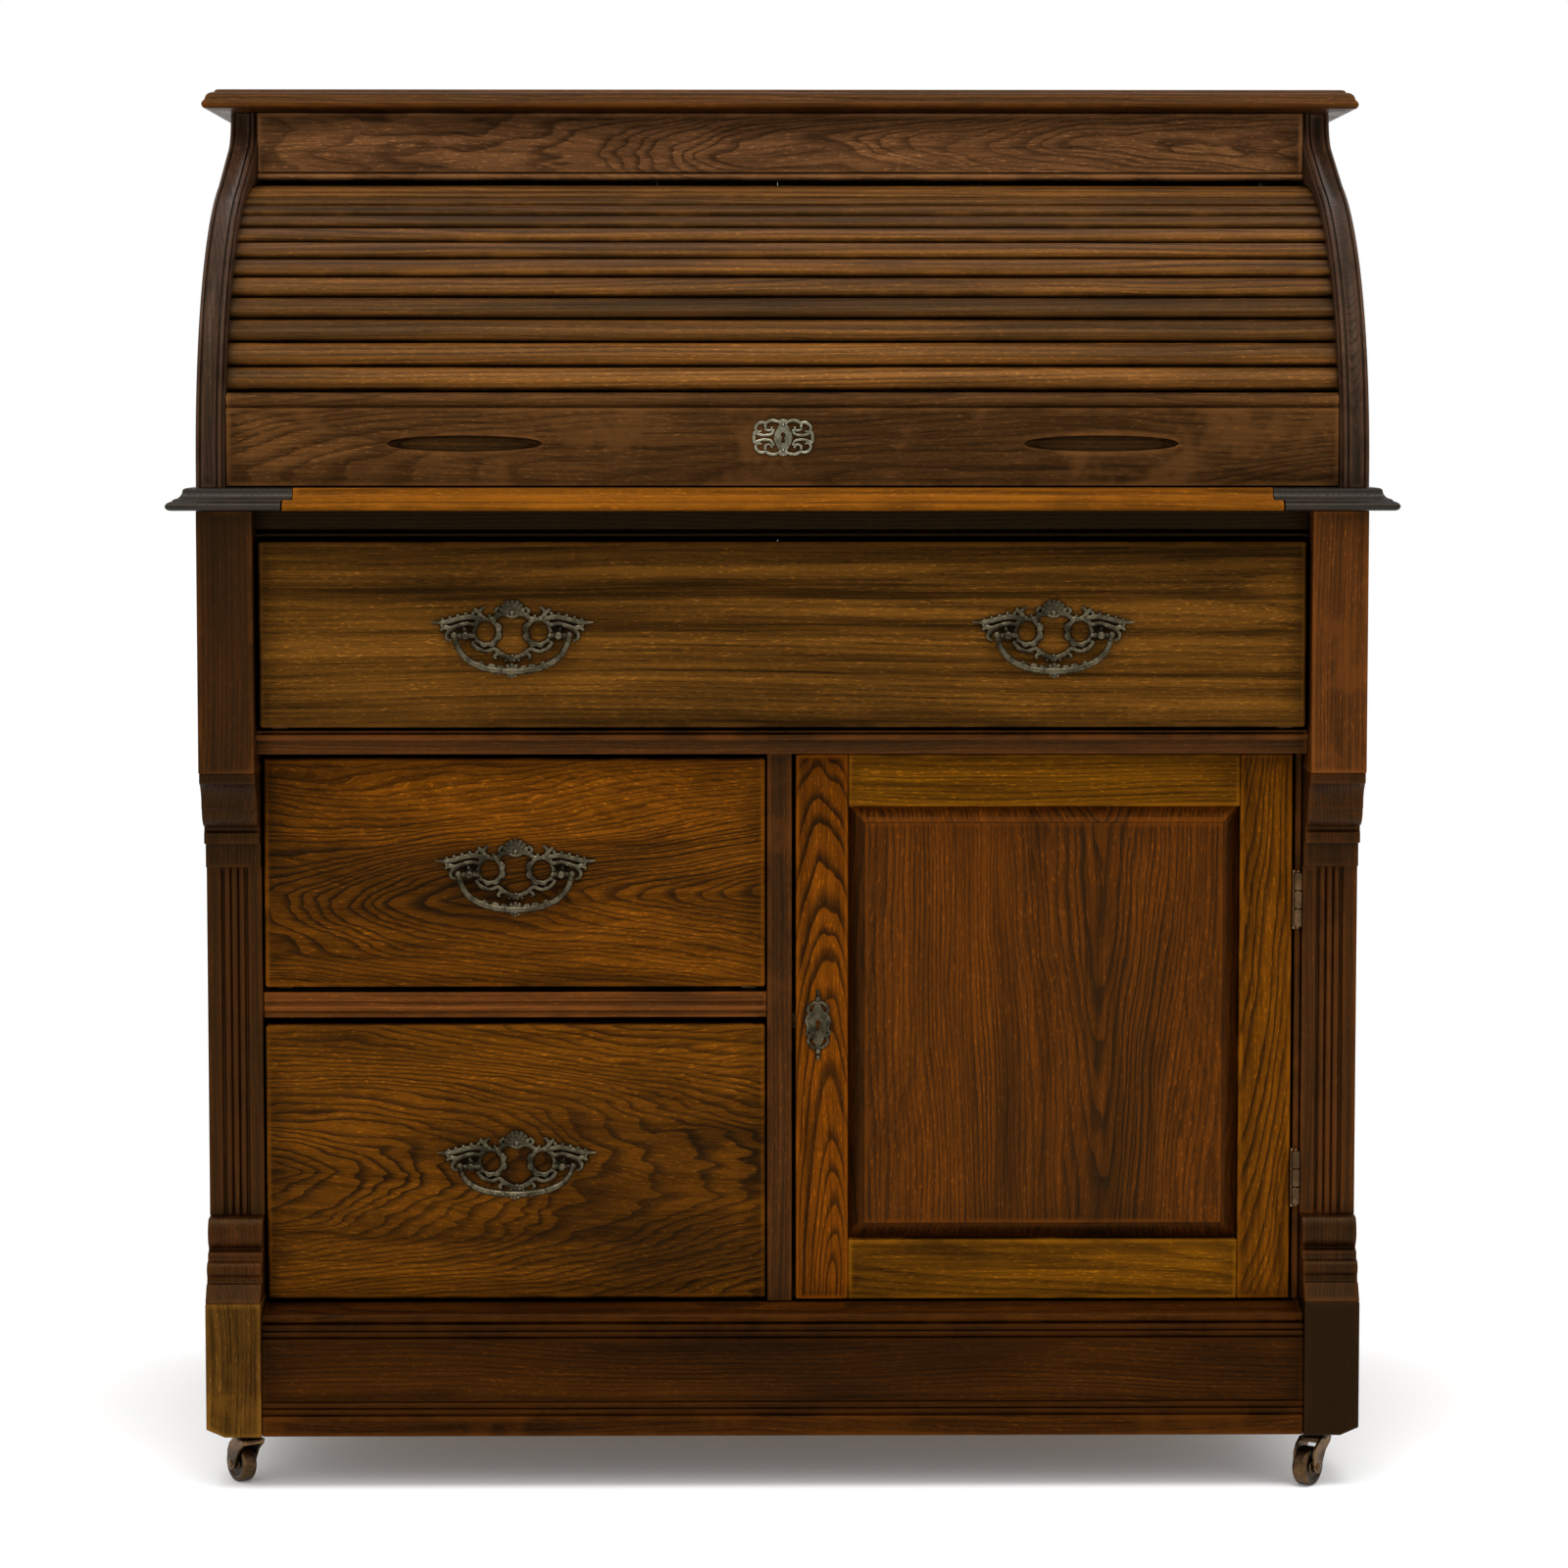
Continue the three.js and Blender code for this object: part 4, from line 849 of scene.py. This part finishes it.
def roll_side(node, side):
    x, (_, rear), (foot, top) = spans(node)
    outer = x[1] if side > 0 else x[0]
    inner = outer - side * SIDE_THICK
    path, wide = roll_edge_path(top), len(ROLL_EDGE)
    tall = len(path)
    verts, faces = [], []
    for y, z, in_y, in_z in path:
        verts += [(outer - side * d, y + in_y * depth, z + in_z * depth) for d, depth in ROLL_EDGE]
    for i in range(tall - 1):
        for j in range(wide - 1):
            faces.append((i * wide + j, i * wide + j + 1, (i + 1) * wide + j + 1, (i + 1) * wide + j))
    a, b, c, d = range(len(verts), len(verts) + 4)
    verts += [(outer, rear, top), (inner, rear, top), (inner, rear, foot), (outer, rear, foot)]
    faces += [
        (*range(0, tall * wide, wide), a, d),
        (*range(wide - 1, tall * wide, wide), b, c),
        (*range((tall - 1) * wide, tall * wide), b, a),
        (*range(wide), c, d),
        (a, b, c, d),
    ]
    piece = board(node + "_wood", (verts, faces), "roll_side", node, bevel=0,
                  shift=(0, 0.02, 0.1 if side > 0 else -0.3), tone=0.25 if side > 0 else 0.0)
    centre = (TRACK.y, TRACK.z)
    ring = arc(centre, TRACK_OUTER, 186, 12, 80) + arc(centre, TRACK_INNER, 12, 186, 80)
    carve(piece, prism(ring, "x", inner - side, inner + side * TRACK_DEPTH))


def carve(piece, part):
    """Cuts a solid from a piece for good."""
    cutter = solid("cutter", part)
    cut = piece.modifiers.new("carve", "BOOLEAN")
    cut.operation, cut.solver, cut.object = "DIFFERENCE", "EXACT", cutter
    bpy.context.view_layer.update()
    carved = bpy.data.meshes.new_from_object(piece.evaluated_get(bpy.context.evaluated_depsgraph_get()))
    piece.modifiers.remove(cut)
    piece.data = carved
    bpy.data.objects.remove(cutter)


roll_side("roll_side_left", -1)
roll_side("roll_side_right", 1)
low, high = spans("frieze_board")[2]
profile_run("frieze_board_wood", "frieze_board", [
    (-8, low), (-28, low), *arc((-29, low + 2.8), 2.6, 250, 110, 8), (-26.5, low + 6),
    (-28, low + 7), (-28, high), (-8, high)], "frieze", bevel=0.4, shift=(0, 0, 0))


def top_board():
    x, y, (low, high) = spans("top_board")
    profile = [
        (24, low), (10, low + 1.0), (4, low + 2.6), *arc((3.6, low + 5.6), 3.6, 250, 130, 8),
        (2.2, low + 9.4),
        *arc((9, low + 10), (6.4, 5.6), 170, 90, 8), (9.4, high - 1.4), (10.6, high - 0.4), (12, high),
    ]
    board("top_board_wood", moulded(x, y, profile, 1, 1), "top", "top_board", bevel=0.3, angle=30)


top_board()


def gallery():
    """The pigeonholes: outer case, shelves and divisions, each front edge rounded over."""
    x, (front, rear), z = spans("gallery")
    wall, back, cubby, tray, holes = 8, 6, 92, 832, 3
    floor_z, roof_z = z[0] + wall, z[1] - wall
    parts = [
        ("top", block(x, (front, rear), (roof_z, z[1])), 0),
        ("bottom", block(x, (front, rear), (z[0], floor_z)), 0),
        ("back", block((x[0] + wall, x[1] - wall), (rear - back, rear), (floor_z, roof_z)), -0.1),
    ]
    for i, left in enumerate((x[0], x[1] - wall, -cubby - wall, cubby)):
        upright = block((left, left + wall), (front, rear - back), (floor_z, roof_z))
        parts.append((f"upright_{i + 1}", upright, 0.05))
    start, inner = cubby + wall, x[1] - wall
    cell = (inner - start - (holes - 1) * wall) / holes
    for side, word in ((-1, "left"), (1, "right")):
        ends = sorted((side * start, side * inner))
        parts.append((f"tray_{word}", block(ends, (front + 1, rear - back), (tray, tray + wall)), 0.05))
        for i in range(holes - 1):
            near = start + (i + 1) * cell + i * wall
            ends = sorted((side * near, side * (near + wall)))
            division = block(ends, (front + 2, rear - back), (tray + wall, roof_z))
            parts.append((f"division_{word}_{i + 1}", division, 0.1))
    for word, part, tone in parts:
        grain = "inner_y" if word.startswith(("upright", "division")) else "inner_x"
        board("gallery_" + word, part, grain, "gallery", tone=tone - 0.45)


gallery()


# ---------------------------------------------------------------- tambour
SLATS = 16
FIRST_DEG, PITCH_DEG = 15.6, 5.24
SLAT_SECTION = [  # (share of the pitch, radius)
    (0.03, 213.4), (0.03, 217.0), (0.035, 219.8), (0.05, 221.4), (0.085, 222.6), (0.14, 223.4),
    (0.22, 223.85), (0.34, 224.0), (0.5, 223.7), (0.66, 223.0), (0.8, 222.0), (0.9, 220.8), (0.95, 219.6),
    (0.975, 217.8), (0.98, 213.4),
]


def track_point(radius, degrees):
    angle = radians(degrees)
    return TRACK.y - radius * cos(angle), TRACK.z + radius * sin(angle)


def slat(index, half):
    """One slat, very slightly bowed along its length as an old one is."""
    name = f"tambour_slat_{index + 1:02d}"
    pick = random.Random(name)
    start = FIRST_DEG + index * PITCH_DEG
    outline = [track_point(radius, start + share * PITCH_DEG) for share, radius in SLAT_SECTION]
    verts, faces = prism(outline, "x", -half, half, cuts=28)
    bowed = []
    for x, y, z in verts:
        sway = noise.noise(Vector((x / 260, index * 7.3, 0))) * min(1.0, (half - abs(x)) / 120)
        bowed.append((x, y + 0.5 * sway, z + 0.45 * sway))
    shift = (pick.uniform(-1, 1), pick.uniform(-0.01, 0.01), -start * 0.004 + pick.uniform(-0.3, 0.3))
    board(name, (bowed, faces), "slat", "tambour_curtain", "tambour", bevel=0,
          tone=pick.uniform(-0.52, 0.34), shift=shift, angle=55)


for index in range(SLATS):
    slat(index, spans("tambour_curtain")[0][1])


def canvas():
    """The cloth that joins the slats."""
    half, radius, thick = 400, 213.15, 0.45
    reach = SLATS * PITCH_DEG
    turns = [FIRST_DEG + reach * i / 96 for i in range(97)]
    outline = [track_point(radius, d) for d in turns] + [track_point(radius - thick, d) for d in turns[::-1]]
    cloth = solid("tambour_canvas", prism(outline, "x", -half, half))
    finish(cloth, CANVAS, "tambour", "inner_wood")


canvas()


def lift_rail():
    _, (face, _), (low, high) = spans("lift_rail")
    half, tenon_half, back = 417.3, 424.5, -235.5
    profile = [
        (back, low), (face, low), (face, 826), (face + 2.5, 827),
        *arc((-247, 832.2), 4.6, 235, 90, 10), (-245, high), (back, high),
    ]
    piece = board("lift_rail_wood", prism(profile, "x", -half, half), "lift_rail", "lift_rail", "tambour",
                  bevel=0, shift=(0, 0, 0), angle=40)
    for side in (-1, 1):
        carve(piece, finger_slot(side * 239, face, 800))
    turns = (-1, 1.8, 4.6, 7.4, 10.2, 13)
    tenon = [track_point(223.6, d) for d in turns] + [track_point(213.4, d) for d in turns[::-1]]
    board("lift_rail_tenon", prism(tenon, "x", -tenon_half, tenon_half), "slat", "lift_rail", "tambour",
          bevel=0, tone=-0.4)


def finger_slot(x, face, z):
    """The spindle shape that a finger slot is cut with."""
    reach, spindle = 59, []
    for i in range(33):
        off = -reach + 2 * reach * i / 32
        swell = (1 - (off / reach) ** 2) ** 0.45
        spindle.append((x + off, face + 2.6 * swell, z, max(6.6 * swell, 0.05)))
    return tube(spindle, 24, 1.05)


lift_rail()


# ---------------------------------------------------------------- drawers
def dovetails(x, front, z):
    """Tails let into both sides of a drawer just behind its front."""
    pins, rear = 5, front + 14
    pitch = (z[1] - z[0]) / pins
    wide, thin = pitch * 0.3, pitch * 0.19
    tails = []
    for side, outer in zip((-1, 1), x):
        for i in range(pins):
            mid = z[0] + (i + 0.5) * pitch
            tail = [(front, mid - wide), (front, mid + wide), (rear, mid + thin), (rear, mid - thin)]
            tails.append(prism(tail, "x", outer - side * 0.6, outer + side * 0.25))
    return together(*tails)


def drawer(body, grain):
    face = body + "_front"
    board(face + "_wood", block(*spans(face)), grain, face, body, bevel=2.2, shift=(0, 0, 0), segments=3)
    box, wall = body + "_box", 12
    x, y, z = spans(box)
    inside = (x[0] + wall, x[1] - wall)
    for word, ends in (("left", (x[0], inside[0])), ("right", (inside[1], x[1]))):
        board(f"{body}_side_{word}", block(ends, y, z), "inner_y", box, body, bevel=0.8)
    back = block(inside, (y[1] - wall, y[1]), (z[0] + 11, z[1] - 4))
    board(body + "_back", back, "inner_x", box, body, bevel=0.8)
    board(body + "_dovetails", dovetails(x, y[0], z), grain, box, body, bevel=0, tone=-0.3)
    whole_board(body + "_bottom", "inner_x", body=body, bevel=0.5)


drawer("top_drawer", "top_drawer")
drawer("upper_left_drawer", "upper_left")
drawer("lower_left_drawer", "lower_left")


# ---------------------------------------------------------------- door
whole_board("door_stile_lock", "stile_lock", body="door", shift=(0, 0, 0))
whole_board("door_stile_hinge", "stile_hinge", body="door", shift=(0, 0, 0))
whole_board("door_rail_top", "door_rail", body="door")
whole_board("door_rail_bottom", "door_rail", body="door")


def door_jamb():
    """The strip between the door's hinge edge and the post."""
    post_x, (low, high) = spans("front_post_right")[0][0], spans("door_stile_hinge")[2]
    part = block((post_x - 5.4, post_x - GAP), (-208, POST_BACK), (low - 1.6, high + 1.6))
    board("door_jamb", part, "post", bevel=0.8, tone=0.1)


def door_panel():
    x, (face, back), z = spans("door_panel")
    slope, rebate, lip = 12.5, 8, 2.2
    inner_x, inner_z = (x[0] + slope, x[1] - slope), (z[0] + slope, z[1] - slope)
    field = block(inner_x, (face, back), inner_z)
    board("door_panel_field", field, "panel", "door_panel", "door", bevel=0.4, shift=(0, 0, 0))
    turns = ((0, 0), (1, 0), (1, 1), (0, 1))
    # painted light on the top bevel, paler as if lit from above, and painted shade on the others, darker;
    # tones matched to the real panel
    for k, (word, tone) in enumerate((("bottom", -0.5), ("right", -0.45), ("top", 0.5), ("left", -0.55))):
        (i, j), (m, n) = turns[k], turns[k - 3]
        quad = [(x[i], z[j]), (x[m], z[n]), (inner_x[m], inner_z[n]), (inner_x[i], inner_z[j])]
        depths = (face + rebate, face + rebate, face + lip, face + lip)
        front = [(u, depth, v) for (u, v), depth in zip(quad, depths)]
        part = loft([front, [(u, back, v) for u, v in quad]])
        board("door_panel_bevel_" + word, part, "panel", "door_panel", "door", bevel=0.2, tone=tone,
              shift=(0, 0, 0))


door_jamb()
door_panel()


# ---------------------------------------------------------------- cast brass
def cast(name, part, voxel):
    """Fuses overlapping solids into one smooth skin, as a casting is."""
    piece = solid(name, part)
    fuse = piece.modifiers.new("fuse", "REMESH")
    fuse.mode, fuse.voxel_size = "VOXEL", voxel * MM
    ease = piece.modifiers.new("ease", "SMOOTH")
    ease.factor, ease.iterations = 0.5, 2
    bpy.context.view_layer.update()
    mesh = bpy.data.meshes.new_from_object(piece.evaluated_get(bpy.context.evaluated_depsgraph_get()))
    bpy.data.objects.remove(piece)
    mesh.name = name
    return mesh


def scroll(points, y, between=6):
    """A relief scroll through (x, z, radius) points."""
    return tube(smooth_path([(x, y, z, r) for x, z, r in points], between), 10, 0.75)


def scrolls(y, *rows):
    return together(*(scroll(row, y) for row in rows))


def fan(centre, radius, start, end, petals, thick, y=-1.8):
    """Petals spread round a point, as a shell or palmette."""
    cx, cz = centre
    parts = [ball((cx, y - 0.8, cz), thick * 1.1)]
    middles = arc(centre, 0.6 * radius, start, end, petals - 1)
    for (mx, mz), (tx, tz) in zip(middles, arc(centre, radius, start, end, petals - 1)):
        petal = [(cx, y, cz, thick * 0.5), (mx, y - 0.4, mz, thick * 0.85), (tx, y - 0.2, tz, thick * 0.95),
                 (tx, y, tz, thick * 0.4)]
        parts.append(tube(petal, 8, 0.8))
    return together(*parts)


PLATE_Y, POST_X = -1.6, 35
PULL_POST = [  # (radius, depth)
    (4.4, -0.4), (4.4, -1.8), (3.6, -3.0), (2.7, -4.2), (2.7, -6.0), (3.3, -7.2), (3.5, -9.2),
    (3.3, -11.0), (2.4, -12.4), (0.4, -13.0),
]


def plate_half():
    """The right half of a pull's plate, from the middle of its pivot line."""
    ring = []
    for degrees in range(-180, 181, 20):
        angle = radians(degrees)
        thick = 2.0 - 0.6 * cos(angle) + 0.45 * cos(9 * angle)
        ring.append((20 + (7.2 + thick) * cos(angle), 2.5 + (7.8 + thick) * sin(angle), thick))
    leaves = scrolls(
        PLATE_Y,
        [(14.5, 11.5, 1.8), (10.5, 14.8, 2.1), (5.5, 16.5, 1.9)],
        [(11, 15.5, 1.3), (12.5, 18.5, 1.5), (9.5, 20.8, 1.3)],
        [(22, 13, 1.7), (25, 16.5, 1.9), (28.5, 20, 1.2)],
        [(25, 16.5, 1.4), (23, 19.8, 1.4), (20.5, 20.8, 0.9)],
        [(24, 12, 1.9), (31, 13.6, 2.3), (37, 13, 2.3), (43, 11.6, 2.3), (49, 10.2, 2.1), (55, 9.5, 1.5),
         (61, 9.6, 0.6)],
        [(28, 7.5, 1.7), (34.5, 8.4, 2.0), (41, 6.8, 2.1), (46.5, 5, 2.1), (50.5, 5.8, 1.8), (54, 3.8, 1.1)],
        [(46, 4.5, 1.7), (49.5, 0.8, 1.8), (48.6, -2.8, 1.5), (45.8, -4.2, 1.0)],
        [(28, -0.5, 1.7), (32, 0, 1.9), (38, 0, 1.9)],
        [(30.5, -5, 1.5), (26.5, -9.8, 1.7), (20, -12.3, 1.6), (13.5, -10.5, 1.6), (9, -14, 2.0),
         (4.5, -16.3, 2.0), (0, -17.2, 1.8)],
        [(10, -13.5, 1.5), (13.5, -16, 1.4), (12, -18, 0.9)],
    )
    beads = [(29.5, 16.6, 1.5), (35, 16.2, 1.6), (41, 14.8, 1.6), (47, 13.2, 1.5), (52.5, 12, 1.1),
             (53, 7.2, 1.2), (36, 4.6, 1.3), (17, 14.6, 1.3), (5, -19, 1.1)]
    return together(scroll(ring, PLATE_Y, 3), leaves, *(ball((x, PLATE_Y, z), size) for x, z, size in beads))


def pull_plate_mesh():
    half = plate_half()
    parts = [half, mirrored(half), fan((0, 17), 9.4, 12, 168, 7, 2.0), fan((0, -15.5), 4.6, 215, 325, 4, 1.3)]
    parts.append(scroll([(-5, 15.5, 1.6), (0, 14.2, 1.9), (5, 15.5, 1.6)], PLATE_Y))
    parts += [turned(PULL_POST, (x, 0, 0), 24) for x in (-POST_X, POST_X)]
    return cast("pull_plate", together(*parts), 0.42)


def bail_mesh():
    """The bow hangs straight down here. Its middle is the pivot line."""
    arm, drop = 42.5, 31
    bow = []
    for i in range(97):
        angle = pi * (1 + i / 96)
        rope = 0.32 * abs(sin(angle * 19))
        sag = drop * sin(angle) * (0.92 + 0.05 * cos(2 * angle))
        bow.append((arm * cos(angle), 0, sag, 2.1 + 0.6 * abs(sin(angle)) + 0.6 * rope))
    parts = [tube(bow, 12)]
    for side in (-1, 1):
        parts.append(tube([(side * 43.5, 0, 0, 1.9), (side * 29.5, 0, 0, 1.9)], 14))
        parts.append(ball((side * 43.2, 0, 0.4), 3.0))
        parts.append(ball((side * 28.8, 0, 0), 2.3))
    leaf = scrolls(
        0,
        [(34, -16.5, 1.0), (30, -18, 1.3), (27.5, -21, 1.2)],
        [(28, -21.5, 1.1), (23.5, -20.6, 1.4), (20.5, -22.8, 1.2), (22, -24.6, 0.9)],
        [(20.5, -24.5, 1.1), (16, -22.4, 1.4), (12.5, -24, 1.2), (13.5, -26.4, 0.9)],
        [(13, -26.5, 1.2), (9.5, -23.6, 1.4), (6, -24.6, 1.2)],
    )
    parts += [leaf, mirrored(leaf), ball((0, 0, -28), 2.6)]
    parts += [fan((0, -27.5), 6.4, 20, 160, 5, 1.6, 0), fan((0, -28), 4.0, 220, 320, 3, 1.3, 0)]
    return cast("pull_bail", together(*parts), 0.4)


def pulls():
    plate, bow = pull_plate_mesh(), bail_mesh()
    for place, drawer_body, raised in (
        ("top_left", "top_drawer", 0),
        ("top_right", "top_drawer", 0),
        ("upper", "upper_left_drawer", 0),
        ("lower", "lower_left_drawer", 50),
    ):
        pivot = JOINT_AT["bail_swing_" + place]
        face = spans(drawer_body + "_front")[1][0]
        piece = new_object("pull_" + place, plate.copy())
        piece.location = Vector((pivot.x, face, pivot.z)) * MM
        finish(piece, BRASS, drawer_body, "aged_brass", ["pull_plate_" + place], angle=60)
        piece = new_object("bail_" + place, bow.copy())
        piece.location = pivot * MM
        piece.rotation_euler.x = -radians(raised)
        finish(piece, BRASS, "bail_" + place, "aged_brass", ["pull_bail_" + place], angle=60)


pulls()
RELIEF_Y = -1.0
KEYHOLE = arc((0, 2), 2, -60, 240, 18) + [(-1.6, -4), (1.6, -4)]


def escutcheon(node, name, body, part, material):
    x, y, z = spans(node)
    piece = new_object(name, cast(name, part, 0.3))
    carve(piece, prism(KEYHOLE, "y", -8, 4))
    piece.location = Vector((sum(x) / 2, y[1], sum(z) / 2)) * MM
    finish(piece, material, body, "aged_brass", [node], angle=50)


def shield(rx, rz, lobe_x, lobe_z):
    """A thin oval with four soft corners."""
    outline = []
    for a in (2 * pi * i / 40 for i in range(40)):
        lobe = cos(4 * a)
        outline.append((rx * cos(a) * (1 + lobe_x * lobe), rz * sin(a) * (1 + lobe_z * lobe)))
    return prism(outline, "y", -1.5, -0.2)


def tambour_escutcheon():
    quarter = together(
        scrolls(
            RELIEF_Y,
            [(3, 11.5, 1.1), (8, 12.8, 1.4), (13, 10.6, 1.3), (13.5, 6.6, 1.1), (10, 5.2, 1), (8.4, 8, 0.9)],
            [(12, 10.5, 1.0), (17, 11.2, 1.3), (20.6, 8, 1.2), (19.6, 4.4, 1.0), (16.4, 4.8, 0.8)],
            [(22, 0, 1.3), (21.4, 3.6, 1.3), (18.4, 2.4, 1.1), (14, 1.6, 1.2), (9, 2.6, 1.1), (7, 6, 1.0)],
        ),
        ball((13.4, -1.6, 8.2), 1.3),
    )
    parts = [mirrored(quarter, (i, 1, k)) for i in (1, -1) for k in (1, -1)]
    parts += [shield(6.2, 11.6, 0.1, 0.06), fan((0, 9.5), 4.2, 30, 150, 5, 1.1, RELIEF_Y),
              fan((0, -9.5), 4.2, 210, 330, 5, 1.1, RELIEF_Y)]
    escutcheon("tambour_escutcheon", "escutcheon_tambour", "tambour", together(*parts), PALE_BRASS)


def door_escutcheon():
    half = scrolls(
        RELIEF_Y,
        [(0, 17.5, 1.2), (4.5, 16.5, 1.3), (7.8, 12.5, 1.3), (6, 8.5, 1.1), (4, 10.5, 0.8)],
        [(6.4, 8.5, 1.1), (8.8, 4, 1.3), (7.6, -2, 1.2), (8.8, -6.5, 1.2), (5.4, -8.5, 1.0)],
        [(6, -8, 1.1), (7.6, -12.5, 1.3), (4, -17, 1.3), (0, -18, 1.2)],
    )
    parts = [half, mirrored(half), shield(6.8, 16, 0.12, 0.05)]
    for end in (-1, 1):
        for y, reach, size in ((-1.3, 20.5, 2.5), (-1.2, 24.6, 1.6), (-1.1, 26.6, 1.0)):
            parts.append(ball((0, y, end * reach), size))
    escutcheon("door_escutcheon", "escutcheon_door", "door", together(*parts), BRASS)


tambour_escutcheon()
door_escutcheon()
HINGE_PIN = JOINT_AT["door_swing"]


def door_hinge(node):
    """A leaf let into the door's edge, three knuckles and the pin's two ends."""
    (left, _), (_, back), (low, high) = spans(node)
    x, y = HINGE_PIN.x, HINGE_PIN.y
    leaf_x = left if left > x - 4 else x - 3.7
    parts = [block((leaf_x, x - 2.1), (y, back), (low, high))]
    third = (high - low - 3) / 3
    knuckle = [(0.2, 0.2), (2.9, 0.2), (3.4, 0.8), (3.4, third - 0.8), (2.9, third - 0.2), (0.2, third - 0.2)]
    parts += [turned(knuckle, (x, y, low + 1.5 + i * third), 20, "z") for i in range(3)]
    parts += [ball((x, y, z), 1.2) for z in (low + 1.2, high - 1.2)]
    finish(solid(node + "_brass", together(*parts)), CASTER_BRASS, "door", "aged_brass", [node], bevel=0.2)


door_hinge("door_hinge_upper")
door_hinge("door_hinge_lower")


# ---------------------------------------------------------------- casters
TRAIL, WHEEL_RADIUS, WHEEL_HALF = 12, 15, 6
TOP_PLATE = [
    (0.2, 42.7), (13.4, 42.7), (14, 42.2), (14, 41), (12.8, 40.2), (8.6, 39.6), (7.4, 38), (7, 35.4),
    (0.2, 35.4),
]
FORK_CROWN = [(0.2, 34), (10, 34), (10.4, 35), (9.8, 36.4), (0.2, 36.6)]
FORK_CHEEK = [
    (-8.5, 35.6), (8, 36), (14, 31.5), (17.6, 25), (17.8, 17), *arc((TRAIL, WHEEL_RADIUS), 5.2, 20, -150, 14),
    (4.4, 19), (0.5, 26), (-6.5, 31.5),
]


def fork():
    """The plate, crown, two cheeks and axle, trailing along X."""
    parts = [turned(TOP_PLATE, (0, 0, 0), 32, "z"), turned(FORK_CROWN, (0, 0, 0), 28, "z")]
    for side in (-1, 1):
        parts.append(prism(FORK_CHEEK, "y", *sorted((side * 7.2, side * 9.7))))
        parts.append(ball((TRAIL, side * 9.8, WHEEL_RADIUS), 2.8, (1, 0.45, 1)))
    parts.append(block((-7.6, 8), (-8.6, 8.6), (32, 36)))
    parts.append(turned([(2.3, -9.2), (2.3, 9.2)], (TRAIL, 0, WHEEL_RADIUS), 20))
    return together(*parts)


def wheel():
    half = [(2.9, 6), (5.6, 6), (6.4, 5), (10.4, 4.8), (11.4, 5.8), (13.2, 5.8)]
    tread = [(radius, -off) for radius, off in half]
    for corner, start, end in ((-WHEEL_HALF + 2.6, -80, 0), (WHEEL_HALF - 2.6, 0, 80)):
        tread += arc((WHEEL_RADIUS - 2.6, corner), 2.6, start, end, 5)
    return turned(tread + half[::-1], (TRAIL, 0, WHEEL_RADIUS), 44)


def caster(place):
    """Each caster is built trailing along X, then turned about its stem."""
    stem, hub = JOINT_AT["caster_swivel_" + place], JOINT_AT["caster_roll_" + place]
    turn = Matrix.Rotation(atan2(hub.y - stem.y, hub.x - stem.x), 4, "Z")
    for word, shape, body in (("fork", fork(), "caster_" + place), ("wheel", wheel(), "wheel_" + place)):
        piece = solid(f"{word}_{place}", shape)
        piece.data.transform(Matrix.Translation(Vector((stem.x, stem.y, 0)) * MM) @ turn)
        finish(piece, CASTER_BRASS, body, "caster_brass", [f"caster_{word}_{place}"], bevel=0.5, angle=40)


for place in ("front_left", "front_right", "rear_left", "rear_right"):
    caster(place)

camera()
studio()
